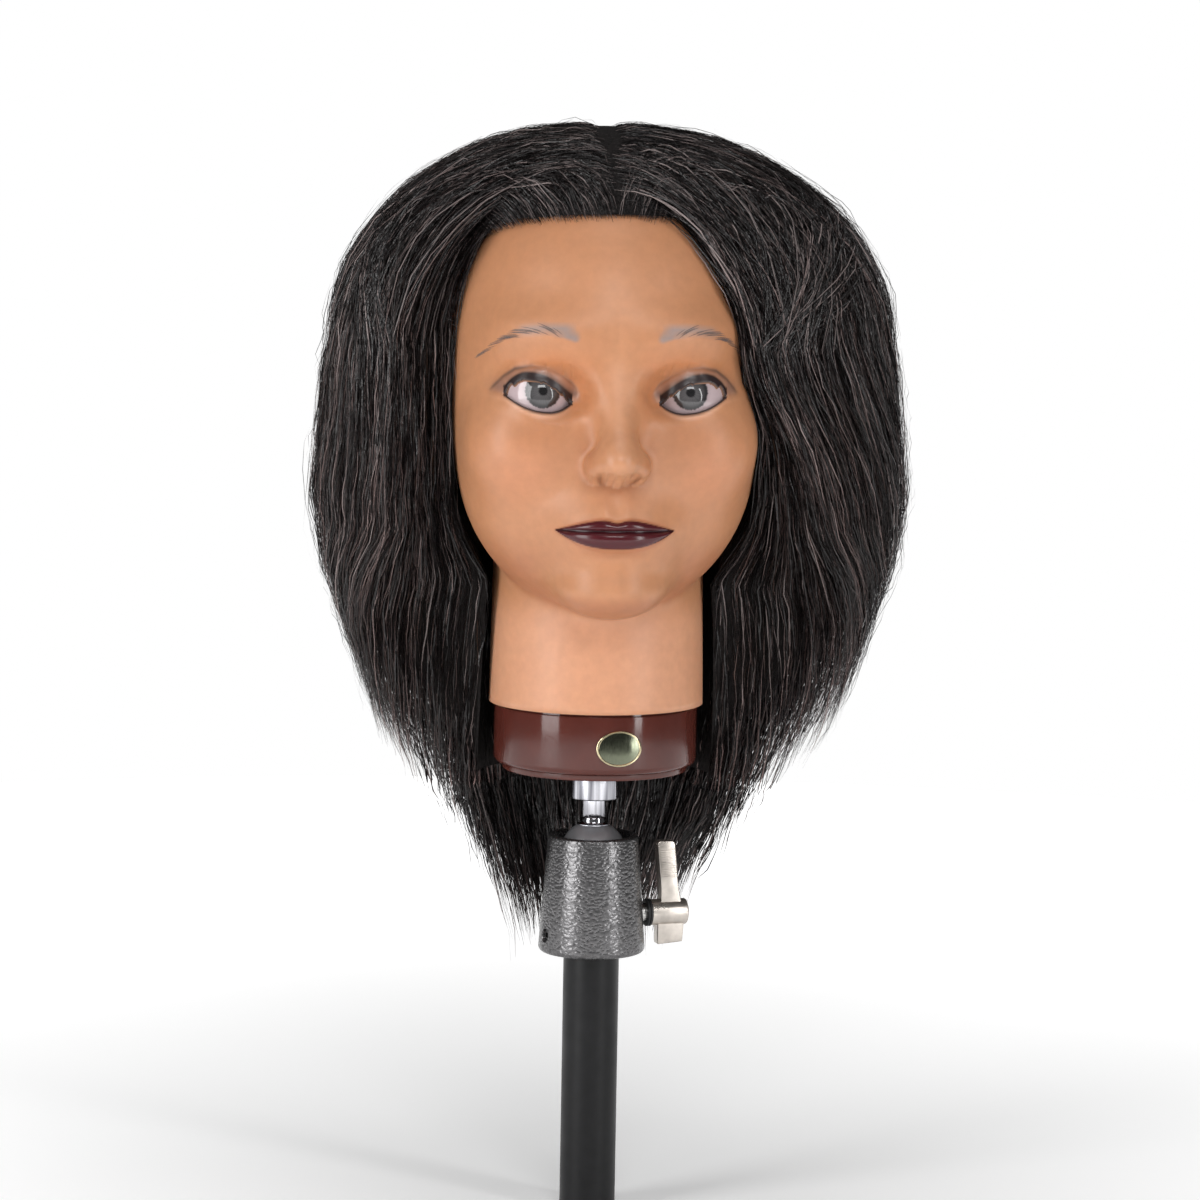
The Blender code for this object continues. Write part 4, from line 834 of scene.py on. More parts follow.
def make_face():
    """The skin from the neck's edge to the crown, with a short plug that closes it below."""
    grid = head_grid()
    start, straight_up = np.array([[0, 0, FAN_H]]), np.array([[0, 0, 1.0]])
    crown = start + ray_hits(start, straight_up, head_field)[:, None] * straight_up
    rim = grid[0] * np.array([0.93, 0.93, 1])
    plug = rim + np.array([0, 0, 12 * MM])
    rings = np.concatenate([plug[None], rim[None], grid])
    rows, columns = rings.shape[:2]
    points = np.concatenate([rings.reshape(-1, 3), crown, plug.mean(0)[None]])
    quads, triangles = stitched(rings)
    mesh = bpy.data.meshes.new("face_skin")
    placed_points = (points + np.array([0, 0, NECK_BOTTOM])).tolist()
    mesh.from_pydata(placed_points, [], quads.tolist() + triangles.tolist())
    u, v = np.meshgrid(np.arange(columns) / columns, np.arange(rows) / rows)
    uv = np.concatenate([np.stack([u, v], -1).reshape(-1, 2), [[0.5, 1.0]], [[0.5, 0.0]]])
    corners = np.concatenate([quads.ravel(), triangles.ravel()])
    layer = mesh.uv_layers.new(name="OFBake")
    layer.data.foreach_set("uv", uv[corners].astype(np.float32).ravel())
    colour, gloss = paint(points)
    opaque = np.concatenate([colour, np.ones((len(points), 1))], 1).astype(np.float32)
    shades = mesh.color_attributes.new(name="paint", type="FLOAT_COLOR", domain="POINT")
    shades.data.foreach_set("color", opaque.ravel())
    shine = mesh.attributes.new(name="gloss", type="FLOAT", domain="POINT")
    shine.data.foreach_set("value", gloss.astype(np.float32))
    mesh.shade_smooth()
    stand_for(link("face_skin", mesh, painted_skin()), "head", "vinyl_skin", "head_skin")


def make_brow_strokes():
    """Fine painted hairs along each brow, as slivers just proud of the skin."""
    rng = np.random.default_rng(4)
    count = 46
    share = np.sort(rng.uniform(0.12, 1.0, count) ** 0.8)
    path_x = np.interp(share, np.linspace(0, 1, len(BROW_PATH)), BROW_PATH[:, 0])
    path_h = np.interp(share, np.linspace(0, 1, len(BROW_PATH)), BROW_PATH[:, 1])
    lean = np.radians(np.interp(share, (0, 0.4, 1), (62, 22, -38)))
    length = np.interp(share, (0, 0.5, 1), (4.2, 7.5, 6.5)) * rng.uniform(0.8, 1.15, count)
    offset = rng.uniform(-1, 1, count) * np.interp(share, (0, 0.6, 1), (1.6, 1.3, 0.3))
    steps = np.linspace(-0.5, 0.5, 7)
    bend = 0.9 * (0.25 - steps ** 2)
    x = path_x[:, None] + steps * (length * np.cos(lean))[:, None] - bend * np.sin(lean)[:, None]
    h = (path_h + offset)[:, None] + steps * (length * np.sin(lean))[:, None] + bend * np.cos(lean)[:, None]
    width = 0.10 * (1 - (2 * steps) ** 4 * 0.8)
    ink = worn("brow_ink", (0.13, 0.095, 0.085), 0.6, scale=500)
    quads, points = [], []
    for side in (-1, 1):
        for k in range(count):
            first = len(points)
            for i in range(len(steps)):
                normal = np.array([-math.sin(lean[k]), math.cos(lean[k])]) * width[i]
                for sign in (-1, 1):
                    points.append((side * (x[k, i] + sign * normal[0]), h[k, i] + sign * normal[1]))
            for i in range(len(steps) - 1):
                a = first + 2 * i
                quads.append((a, a + 1, a + 3, a + 2))
    flat = np.array(points) * MM
    on_skin = surface_front(flat) + np.array([0, -0.07 * MM, NECK_BOTTOM])
    obj = mesh_of_quads("brow_strokes", on_skin, np.array(quads), ink)
    stand_for(obj, "head", "dark_hair")


def surface_front(flat):
    """The skin's front point at each (x, height)."""
    y_low, y_high = np.full(len(flat), -125 * MM), np.full(len(flat), -30 * MM)
    for _ in range(18):
        middle = (y_low + y_high) / 2
        inside = head_field(np.stack([flat[:, 0], middle, flat[:, 1]], 1)) < 0
        y_high, y_low = np.where(inside, middle, y_high), np.where(inside, y_low, middle)
    return np.stack([flat[:, 0], y_low, flat[:, 1]], 1)


def make_eyes():
    """Glazed eyeballs with a dark pupil in a streaked grey iris."""
    for side, label in ((-1, "left"), (1, "right")):
        centre = Vector((side * EYE_X * MM, EYE_Y * MM, NECK_BOTTOM + EYE_H * MM))
        bm = bmesh.new()
        bmesh.ops.create_uvsphere(bm, u_segments=96, v_segments=64, radius=BALL_R * MM)
        bmesh.ops.rotate(bm, verts=bm.verts[:], cent=(0, 0, 0), matrix=Matrix.Rotation(math.pi / 2, 3, "X"))
        for vert in bm.verts:
            out = math.hypot(vert.co.x, vert.co.z) / MM
            if vert.co.y < 0:
                vert.co.y -= 0.7 * MM * float(smooth(-out, -8.0, -4.0))
        bmesh.ops.translate(bm, verts=bm.verts[:], vec=centre)
        obj = from_bmesh(f"glazed_eye_{label}", bm, eye_glaze(label, centre))
        stand_for(obj, "head", "eye_gloss", f"eye_{label}")


def ring_colours(mat, out, streaks):
    """Colour by the distance from the gaze: pupil, streaked grey iris with a dark rim, white of the eye."""
    jitter = node(mat, "ShaderNodeMath", {0: streaks, 1: 1.1 * MM, 2: out}, operation="MULTIPLY_ADD")
    share = node(mat, "ShaderNodeMath", {0: jitter.outputs[0], 1: 100.0}, operation="MULTIPLY")
    rings = node(mat, "ShaderNodeValToRGB", {"Fac": share.outputs[0]})
    stops = [(0.0, (0.012, 0.011, 0.012)), (0.22, (0.014, 0.013, 0.014)), (0.30, (0.085, 0.081, 0.083)),
             (0.58, (0.068, 0.065, 0.067)), (0.74, (0.025, 0.024, 0.025)), (0.80, (0.035, 0.033, 0.035)),
             (0.86, (0.40, 0.32, 0.33)), (1.0, (0.46, 0.36, 0.37))]
    elements = rings.color_ramp.elements
    for _ in range(len(stops) - 2):
        elements.new(0.5)
    for element, (position, colour) in zip(elements, stops):
        element.position = position
        element.color = (*colour, 1)
    return rings.outputs[0]


def eye_glaze(label, centre):
    mat = finish(f"eye_glaze_{label}", (0.6, 0.5, 0.47), 0.1, Coat_Weight=0.25, Coat_Roughness=0.03,
                 Specular_IOR_Level=0.5)
    place = node(mat, "ShaderNodeTexCoord").outputs["Object"]
    gaze = centre + Vector((0.5 * MM if label == "left" else -0.5 * MM, 0, 2.0 * MM))
    local = node(mat, "ShaderNodeVectorMath", {0: place, 1: tuple(gaze)}, operation="SUBTRACT").outputs[0]
    split = node(mat, "ShaderNodeSeparateXYZ", {0: local})
    flat = node(mat, "ShaderNodeCombineXYZ", {0: split.outputs[0], 2: split.outputs[2]}).outputs[0]
    out = node(mat, "ShaderNodeVectorMath", {0: flat}, operation="LENGTH").outputs["Value"]
    unit = node(mat, "ShaderNodeVectorMath", {0: flat}, operation="NORMALIZE").outputs[0]
    streaks = node(mat, "ShaderNodeTexNoise", {"Vector": unit, "Scale": 9.0, "Detail": 6.0}).outputs[0]
    iris = between(mat, out, 0.9, 0.02, 7.0 * MM, 8.0 * MM)
    swing = node(mat, "ShaderNodeMath", {0: streaks, 1: 0.5}, operation="SUBTRACT").outputs[0]
    grain = node(mat, "ShaderNodeMath", {0: swing, 1: iris, 2: 1.0}, operation="MULTIPLY_ADD").outputs[0]
    tint = node(mat, "ShaderNodeVectorMath", {0: ring_colours(mat, out, streaks)}, operation="SCALE")
    mat.node_tree.links.new(grain, tint.inputs["Scale"])
    connect(mat, tint.outputs[0], "Base Color")
    connect(mat, between(mat, noise(mat, 300), 0.04, 0.09), "Roughness")
    return mat


# Hair: heights in mm above the neck's lower edge, azimuth 0 at the face

DOME_H, DOME_TOP = 170.0, 95.5
FRONT_REACH, SKULL_RADII = 93.0, (75.5, 92.5, 91.0)
CUT_H = (TIPS_CUT - NECK_BOTTOM) / MM
TINTS = 64
LEAST_SHARE = 0.02
OUTLINE = np.array([  # height, then the reach to the side, to the front and to the back
    (-105, 42, 30, 60), (-71, 56, 34, 72), (-37, 76, 42, 85), (-9, 100, 56, 100), (16, 115, 63, 110),
    (48, 127, 69, 117), (100, 135, 75, 122), (156, 130, 82, 120), (170, 127, 86, 118)])
EDGE = {  # azimuth of the hair's front edge at each height, on the left (-1) and the right (1)
    -1: np.array([(-105, 118), (-40, 100), (0, 84), (45, 76), (85, 63), (120, 61), (170, 60), (208, 55),
                  (226, 45)]),
    1: np.array([(-105, 118), (-40, 100), (0, 84), (45, 74), (85, 60), (122, 53), (148, 45), (170, 39),
                 (226, 30)])}


def outer_reach(height, azimuth):
    width, front, back = (np.interp(height, OUTLINE[:, 0], OUTLINE[:, k]) for k in (1, 2, 3))
    sine, cosine = np.sin(azimuth), np.cos(azimuth)
    side = width + 5 * sine
    depth = np.where(cosine > 0, front, back)
    return 1 / np.sqrt((sine / side) ** 2 + (cosine / depth) ** 2)


def scalp_table():
    """Inner radius of the hair in mm for each azimuth (10 degree steps) and height (10 mm steps)."""
    azimuths = np.radians(np.arange(0, 360, 10))
    heights = np.arange(-110, 171, 10)
    origins, directions = rays(azimuths, np.maximum(heights, 1) * MM, 0 * heights)
    reach = ray_hits(origins, directions, head_field).reshape(len(heights), -1) / MM
    low = heights < 108
    raised = np.maximum(reach, np.maximum(np.roll(reach, 1, 0), np.roll(reach, -1, 0)))
    floor = np.interp(heights, (-110, -40), (37, 52))[:, None]
    reach[low] = np.maximum(np.where(heights[:, None] < -5, 0, raised), floor)[low]
    return np.concatenate([reach, reach[:, :1]], 1) + 1.2


SCALP = scalp_table()


def inner_reach(height, azimuth):
    """The table read between its entries."""
    row = np.clip((height + 110) / 10, 0, len(SCALP) - 1.001)
    column = np.clip(np.mod(np.degrees(azimuth), 360) / 10, 0, 35.999)
    i, j = row.astype(int), column.astype(int)
    a, b = row - i, column - j
    return ((SCALP[i, j] * (1 - b) + SCALP[i, j + 1] * b) * (1 - a)
            + (SCALP[i + 1, j] * (1 - b) + SCALP[i + 1, j + 1] * b) * a)


def sphere_reach(unit, radii):
    return 1 / np.linalg.norm(unit / np.array(radii), axis=-1)


def hang_reach(height, azimuth, layer):
    """Distance from the axis of a strand of one layer; low down it falls straighter than the outline."""
    inner = inner_reach(height, azimuth)
    knee = 66.0
    steady = outer_reach(np.maximum(height, knee), azimuth)
    falling = steady - np.clip(knee - height, 0, 200) * (0.12 + 0.22 * layer)
    return inner + np.clip(layer, 0, 1.2) * np.maximum(falling - inner, 2)


def edge_azimuth(side, height):
    """Radians from the face to the hair's front edge at each height, on each strand's own side."""
    left, right = (np.interp(height, EDGE[s][:, 0], EDGE[s][:, 1]) for s in (-1, 1))
    return np.radians(np.where(side > 0, right, left))


def outer_dome(azimuth, rise):
    """The hair's outline in mm from the dome's centre; rise is the sine of the height above it."""
    level = outer_reach(np.full_like(azimuth, DOME_H), azimuth)
    level = np.maximum(level, np.where(np.cos(azimuth) > 0, FRONT_REACH, 0) * smooth(rise, 0.15, 0.5))
    flat = np.sqrt(np.maximum(1 - rise ** 2, 0))
    return 1 / np.sqrt((flat / level) ** 2 + (rise / DOME_TOP) ** 2)


def dome_points(family, f):
    """Points in mm over the dome, where f runs from 0 at the root to 1 at the dome's lower edge."""
    layer, lift = family["layer"][:, None], family["lift"][:, None]
    root, control, end = (family[k][:, None] for k in ("root", "control", "end"))
    f = f[..., None]
    bent = (1 - f) ** 2 * root + 2 * f * (1 - f) * control + f ** 2 * end
    unit = bent / np.linalg.norm(bent, axis=-1, keepdims=True)
    around = np.arctan2(unit[..., 0], -unit[..., 1])
    rise = np.clip(unit[..., 2], 0, 1)
    outer = outer_dome(around, rise)
    outer = outer - 4.5 * bell(unit[..., 0] * outer, 7.0) * smooth(rise, 0.4, 0.8)
    skull = sphere_reach(unit, SKULL_RADII)
    scalp = inner_reach(np.full_like(around, DOME_H), around)
    inner = np.where(rise < 0.25, np.maximum(skull, scalp), skull)
    grow = layer * (lift + (1 - lift) * smooth(f[..., 0], 0.0, 0.32))
    return unit * (inner + grow * (outer - inner))[..., None] + np.array([0, 0, DOME_H])


def strand_paths(family, along):
    """Points (strands, steps, 3) in mm at the shares along each strand's full line."""
    side, guide, layer, dome = (family[k][:, None] for k in ("side", "guide", "layer", "dome"))
    run = along * total_length(family)[:, None]
    top = dome_points(family, np.clip(run / dome, 0, 1))
    height = DOME_H - np.clip(run - dome, 0, None)
    turn = edge_azimuth(side, height)
    locks = 0.011 * np.sin(guide * 150 + layer * 5) * smooth(-height, -70, 60)
    around = (turn + (guide + locks) * (math.pi - turn)) * side
    radius = hang_reach(height, around, layer * np.ones_like(height))
    low = np.stack([radius * np.sin(around), -radius * np.cos(around), height], -1)
    mix = smooth(run, dome - 14, dome + 14)[..., None]
    return top * (1 - mix) + low * mix


def total_length(family):
    return family["dome"] + DOME_H - family["tip"]


def tip_heights(side, guide, layer, spread):
    """Where each strand ends: at the hair's outline, its ends ragged."""
    levels = np.arange(150, -106, -4.0)
    turn = edge_azimuth(side[:, None], levels)
    around = (turn + guide[:, None] * (math.pi - turn)) * side[:, None]
    height = np.broadcast_to(levels, around.shape)
    radius = hang_reach(height, around, layer[:, None] * np.ones_like(around))
    beyond = radius > outer_reach(height, around) + 1.0
    beyond &= levels < 60
    first = np.where(beyond.any(1), beyond.argmax(1), len(levels) - 1)
    return levels[first] + spread


def parting_roots(count, rng, side, guide):
    """Roots along the parting: strands nearer the nape start further back."""
    back = np.interp(guide, (0, 0.3, 0.6, 1), (-0.60, -0.15, 0.25, 0.72)) + rng.normal(0, 0.05, count)
    up = np.sqrt(np.clip(1 - back ** 2, 0.02, 1))
    return np.stack([side * rng.uniform(0.0, 0.035, count), back, up], -1)


def hairline_roots(count, rng, side):
    """Roots just behind the hairline over the face, and the guides of strands that fall from there."""
    place = rng.random(count) ** 1.7 * 0.5 * math.pi
    x = side * 0.85 * np.sin(place) ** 0.45
    guide = rng.random(count) ** 1.5 * (0.36 - 0.32 * np.abs(x))
    z = 0.61 * np.cos(place) ** 0.45 - 0.02
    root = np.stack([x, -np.sqrt(np.clip(1 - x ** 2 - z ** 2, 0.05, 1)), z], -1)
    root += rng.random((count, 1)) ** 1.5 * np.array([0, 0.35, 0.22])
    return root / np.linalg.norm(root, axis=-1, keepdims=True), guide


def control_points(kind, root, end, side, guide):
    """The middle point of each strand's bend over the dome."""
    push = np.where(side < 0, 0.62, 0.30) * np.clip(1 - guide / 0.35, 0, 1)
    middle, reach = root + end + push[:, None] * np.array([0, 0.8, 0.9]), 1.25
    if kind == "hairline":
        rise = 0.62 - 0.5 * np.abs(root[:, 0])
        middle = np.stack([root[:, 0] * 1.25 + side * 0.12, root[:, 1] * 0.55, root[:, 2] + rise], -1)
        reach = 1.3
    return middle / np.linalg.norm(middle, axis=-1, keepdims=True) * reach


def family_of(count, rng, kind, layers):
    """Random strands of one kind: from the parting, or from the hairline over the face."""
    side = np.where(rng.random(count) < 0.5, -1.0, 1.0)
    guide = rng.random(count)
    if kind == "edge":
        guide = guide ** 2 * 0.16
    if kind == "nape":
        guide = 0.12 + 0.88 * guide
    layer = rng.uniform(*layers, count)
    if kind == "hairline":
        root, guide = hairline_roots(count, rng, side)
    else:
        root = parting_roots(count, rng, side, guide)
    first = edge_azimuth(side, DOME_H)
    azimuth = first + guide * (math.pi - first)
    end = np.stack([side * np.sin(azimuth), -np.cos(azimuth), 0 * azimuth], -1)
    turn = np.arccos(np.clip((root * end).sum(-1), -1, 1))
    ragged = 7 * np.sin(guide * 47 + side) + 5 * np.sin(guide * 101 + 2 * side + layer * 4)
    spread = rng.exponential(13.0, count) + ragged - 8.0
    return {"side": side, "guide": guide, "layer": layer, "root": root, "end": end,
            "control": control_points(kind, root, end, side, guide),
            "lift": np.full(count, 0.06 if kind == "hairline" else 0.75),
            "dome": np.maximum(turn, 0.4) * 104.0, "tip": tip_heights(side, guide, layer, spread)}


def crimped(points, along_mm, waves):
    """Adds each strand's slow wander and its fine crimp, from seven random numbers for each band."""
    for band, (low, high, reach) in enumerate(((70, 140, 1.7), (18, 30, 0.55), (7, 11, 0.5))):
        length = low + (high - low) * waves[:, band, :1]
        for axis in range(3):
            phase = 2 * math.pi * waves[:, band, 1 + axis, None]
            amount = (0.3 + 0.7 * waves[:, band, 4 + axis, None]) * reach
            points[..., axis] += amount * np.sin(along_mm / length * 2 * math.pi + phase)
    return points


def ribbon_directions(points, rng):
    """Unit vectors across each strand, turned a little at random and along its length."""
    count, steps = points.shape[:2]
    run = np.gradient(points, axis=1)
    run /= np.maximum(np.linalg.norm(run, axis=-1, keepdims=True), 1e-9)
    out = points * np.array([1, 1, 0.6]) - np.array([0, 0, 60.0])
    out /= np.linalg.norm(out, axis=-1, keepdims=True)
    across = np.cross(run, out)
    across /= np.maximum(np.linalg.norm(across, axis=-1, keepdims=True), 1e-9)
    normal = np.cross(across, run)
    turned_by = rng.normal(0, 0.45, (count, 1))
    twist = turned_by + np.sin(np.linspace(0, 9, steps) + rng.uniform(0, 6, (count, 1))) * 0.5
    return across * np.cos(twist)[..., None] + normal * np.sin(twist)[..., None]


def ribbons(points, width, rng, tint, whole):
    """Vertices, quads and bake places of flat ribbons; whole says at which ends each one tapers."""
    count, steps = points.shape[:2]
    share = np.linspace(0, 1, steps)
    start = np.maximum(share / 0.12 + 0.25, 1 - whole[0][:, None])
    end = np.maximum((1 - share) / 0.45 + 0.12, 1 - whole[1][:, None])
    taper = np.minimum(1, np.minimum(start, end))
    half = ribbon_directions(points, rng) * (width * taper)[..., None] / 2
    both = np.stack([points - half, points + half], 2)
    index = np.arange(count * steps * 2).reshape(count, steps, 2)
    near, far = index[:, :-1], index[:, 1:]
    quads = np.stack([near[..., 0], near[..., 1], far[..., 1], far[..., 0]], -1).reshape(-1, 4)
    u = (np.floor(tint * TINTS) + 0.5)[:, None, None] / TINTS + np.array([-0.3, 0.3]) / TINTS
    v = np.broadcast_to(share[None, :, None], (count, steps, 2))
    uv = np.stack([np.broadcast_to(u, v.shape), v], -1)
    return both.reshape(-1, 3), quads, uv.reshape(-1, 2)


def hair_finish():
    """Near-black brown strands: each its own tint, the highest tints painted pale as painted highlights for
    glints on the crimped strands; redder and paler towards the tips, crimp in the bump.
    """
    mat = finish("hair_strands", (0.03, 0.022, 0.02), 0.38, Specular_IOR_Level=0.5)
    place = node(mat, "ShaderNodeUVMap", uv_map="OFBake").outputs[0]
    split = node(mat, "ShaderNodeSeparateXYZ", {0: place})
    strand = cell(mat, split.outputs[0], TINTS)
    tint = node(mat, "ShaderNodeTexWhiteNoise", {"W": strand}, noise_dimensions="1D").outputs[0]
    # painted highlights: tints above 0.66 rise to a pale grey-brown, standing in for glints of light on
    # crimped strands
    body = ramp(mat, tint, (0.0075, 0.0056, 0.0056), (0.25, 0.198, 0.190), 0.66, 1.0)
    ends = ramp(mat, tint, (0.0105, 0.0060, 0.0056), (0.25, 0.156, 0.142), 0.62, 1.0)
    tipward = between(mat, split.outputs[1], 0.0, 1.0, 0.45, 1.0)
    mix = node(mat, "ShaderNodeMix", {"Factor": tipward}, data_type="RGBA")
    mat.node_tree.links.new(body, mix.inputs[6])
    mat.node_tree.links.new(ends, mix.inputs[7])
    connect(mat, mix.outputs[2], "Base Color")
    connect(mat, between(mat, tint, 0.28, 0.5, 0, 1), "Roughness")
    return bump(mat, noise(mat, 380, 2), 0.9, 0.9 * MM)


def cell(mat, value, count):
    scaled = node(mat, "ShaderNodeMath", {0: value, 1: float(count)}, operation="MULTIPLY").outputs[0]
    return node(mat, "ShaderNodeMath", {0: scaled}, operation="FLOOR").outputs[0]


def mass_finish():
    mat = worn("hair_mass", (0.010, 0.0078, 0.0075), 0.75, scale=500, spread=0.5, dent=0.9,
               Specular_IOR_Level=0.25)
    return bump(mat, noise(mat, 700, 4, (1, 1, 0.12)), 1.0, 1.2 * MM)


def close_layers(inner, outer):
    rows, columns = inner.shape[:2]
    points = np.concatenate([inner.reshape(-1, 3), outer.reshape(-1, 3)])
    index = np.arange(rows * columns).reshape(rows, columns)
    size = rows * columns
    faces = []
    for grid, flip in ((index, True), (index + size, False)):
        quad = np.stack([grid[:-1, :-1], grid[:-1, 1:], grid[1:, 1:], grid[1:, :-1]], -1).reshape(-1, 4)
        faces.append(quad[:, ::-1] if flip else quad)
    for line, flip in ((index[0], False), (index[-1], True), (index[:, 0], True), (index[:, -1], False)):
        wall = np.stack([line[:-1], line[1:], line[1:] + size, line[:-1] + size], -1)
        faces.append(wall[:, ::-1] if flip else wall)
    return points, np.concatenate(faces)


def dome_layers(azimuths, rises, share):
    """Inner and outer rows of the crown's mass, thin at the hairline over the face."""
    grids = []
    for level in (0.02, share):
        rows = []
        for rise in rises:
            unit = np.stack([np.sin(azimuths) * math.cos(rise), -np.cos(azimuths) * math.cos(rise),
                             np.full_like(azimuths, math.sin(rise))], -1)
            outer = outer_dome(azimuths, math.sin(rise))
            skull = sphere_reach(unit, SKULL_RADII)
            near = smooth(np.degrees(rise), 46, 76) + (1 - smooth(np.cos(azimuths), 0.2, 0.75))
            reach = skull + level * np.clip(near, 0, 1) * (outer - skull)
            rows.append(unit * reach[:, None] + np.array([0, 0, DOME_H]))
        grids.append(np.array(rows))
    return grids


def side_layers(side, first, last, share):
    """Inner and outer rows of the mass hanging between two shares of the way from the face to the nape."""
    heights = np.linspace(-30, DOME_H, 44)
    guides = np.linspace(first, last, 30)
    grids = []
    for level in (0.02, share):
        rows = []
        for height in heights:
            edge = edge_azimuth(side, height)
            around = (edge + guides * (math.pi - edge)) * side
            fade = smooth(guides, 0.0, 0.12) * smooth(height, -34, 40)
            radius = hang_reach(np.full_like(around, height), around, level * fade)
            level_row = np.full_like(around, height)
            rows.append(np.stack([radius * np.sin(around), -radius * np.cos(around), level_row], -1))
        grids.append(np.array(rows))
    return grids


def region_of(points):
    """Which piece each strand belongs to, by its middle: crown, left, right or back."""
    middle = points[:, points.shape[1] // 2]
    azimuth = np.degrees(np.arctan2(np.abs(middle[:, 0]), -middle[:, 1]))
    hanging = np.where(azimuth > 122, 3, np.where(middle[:, 0] < 0, 1, 2))
    return np.where(middle[:, 2] > DOME_H + 28, 0, hanging)


def add_strands(parts, family, shares, steps, width, rng, whole, region=None):
    """Samples the family between two shares of each line and files the ribbons by region."""
    along = shares[0][:, None] + (shares[1] - shares[0])[:, None] * np.linspace(0, 1, steps)
    points = strand_paths(family, along)
    points = crimped(points, along * total_length(family)[:, None], family["waves"])
    homes = region_of(points) if region is None else np.full(len(points), region)
    thick = width * rng.uniform(0.75, 1.25, (len(points), 1))
    for home in np.unique(homes):
        chosen = homes == home
        ends = [np.broadcast_to(w, len(points))[chosen].astype(float) for w in whole]
        parts[home].append(ribbons(points[chosen], thick[chosen], rng, family["tint"][chosen], ends))


def cut_share(family):
    """Share of each line at the level where the loose tips begin."""
    return (family["dome"] + DOME_H - CUT_H) / total_length(family)


def scatter(parts, count, rng, kind, layers, length, steps, width, wild):
    """Overlapping stretches of strands; those that pass the cut go on in the tips' piece."""
    family = family_of(count, rng, kind, layers)
    family["tint"] = rng.random(count)
    family["waves"] = rng.random((count, 3, 7)) * wild
    total = total_length(family)
    stretch = rng.uniform(*length, count) / total
    begin = rng.uniform(-0.25, 1.0 - stretch * 0.75, count)
    if kind == "hairline":
        begin = np.zeros(count)
    if kind == "nape":
        begin = (family["dome"] + DOME_H - rng.uniform(-60, 60, count)) / total
    begin = np.clip(begin, 0, 1)
    finish_at = np.clip(begin + stretch, 0, 1)
    cut = np.clip(cut_share(family), 0, 1)
    upper = begin < cut - LEAST_SHARE
    pick = {k: v[upper] for k, v in family.items()}
    shares = (begin[upper], np.minimum(finish_at, cut)[upper])
    add_strands(parts, pick, shares, steps, width, rng, (True, finish_at[upper] <= cut[upper]))
    lower = (finish_at > cut + LEAST_SHARE) & (cut < 1 - LEAST_SHARE)
    pick = {k: v[lower] for k, v in family.items()}
    shares = (np.maximum(begin, cut)[lower], finish_at[lower])
    add_strands(parts, pick, shares, max(steps // 2, 6), width, rng, (begin[lower] >= cut[lower], True), TIPS)


def clear_of_lever(points):
    """Strands behind the lever lie back, out of the circle that its arm sweeps."""
    rise = points[:, 2] - (LEVER_Z - NECK_BOTTOM) / MM
    reach = np.sqrt(np.clip(1 - (rise / 46) ** 2, 0, 1)) * 46
    near = smooth(points[:, 0], 14, 22) * (1 - smooth(points[:, 0], 52, 62))
    pushed = points.copy()
    pushed[:, 1] = np.maximum(points[:, 1], reach * near)
    return pushed


STRANDS = (  # number, kind, layers, length of a stretch in mm, steps, width in mm, factor on the waves
    (9000, "parting", (0.6, 0.95), (90, 150), 15, 0.62, 1.0),
    (13000, "parting", (0.88, 1.0), (90, 160), 17, 0.40, 1.0),
    (9500, "hairline", (0.5, 1.05), (110, 190), 18, 0.42, 1.0),
    (3600, "edge", (0.0, 0.95), (90, 150), 15, 0.48, 1.0),
    (6500, "nape", (0.0, 0.98), (90, 130), 14, 0.55, 1.0),
    (2200, "parting", (0.94, 1.05), (40, 100), 14, 0.28, 1.9))
HAIR_PIECES = (("hair_crown_strands", "hair_crown"), ("hair_left_strands", "hair_left"),
               ("hair_right_strands", "hair_right"), ("hair_back_strands", "hair_back"),
               ("hair_nape_tips", "hair_back_tips"))
TIPS = 4


def hair_masses():
    """Closed dark shells under the strands, for each piece of hair in turn; the tips have none."""
    crown = dome_layers(np.linspace(0, 2 * math.pi, 97), np.radians(np.linspace(38, 89.6, 24)), 0.62)
    sides = [[close_layers(*side_layers(side, 0, 0.52, 0.66))] for side in (-1, 1)]
    back = [close_layers(*side_layers(side, 0.5, 1.0, 0.66)) for side in (-1, 1)]
    return [[close_layers(*crown)], *sides, back, []]


def hair_piece(name, strands, masses, mats, shape=None):
    """One mesh of ribbons in the first material and shells in the second."""
    points, quads, uv, first = [], [], [], 0
    for p, q, t in strands + [(p, q, np.full((len(p), 2), 0.01)) for p, q in masses]:
        points.append(shape(p) if shape else p)
        quads.append(q + first)
        uv.append(t)
        first += len(p)
    all_points = np.concatenate(points) * MM + np.array([0, 0, NECK_BOTTOM])
    obj = mesh_of_quads(name, all_points, np.concatenate(quads), mats, np.concatenate(uv))
    slots = np.zeros(len(obj.data.polygons), np.int32)
    slots[len(slots) - sum(len(q) for p, q in masses):] = 1
    obj.data.polygons.foreach_set("material_index", slots)
    return obj


def trimmed(points):
    """Tips that start just above the cut and keep clear of the lever."""
    return clear_of_lever(np.minimum(points, [1e9, 1e9, CUT_H + 1.0]))


def make_hair():
    rng = np.random.default_rng(11)
    parts = {k: [] for k in range(len(HAIR_PIECES))}
    dense = 1.0
    for count, *look in STRANDS:
        scatter(parts, int(count * dense), rng, *look)
    mats = [hair_finish(), mass_finish()]
    for key, masses in enumerate(hair_masses()):
        name, stands = HAIR_PIECES[key]
        obj = hair_piece(name, parts[key], masses, mats, trimmed if key == TIPS else None)
        stand_for(obj, "head", "dark_hair", stands)
        if key == TIPS:
            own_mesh(obj)


# Carried-over CAD nodes take a procedural finish

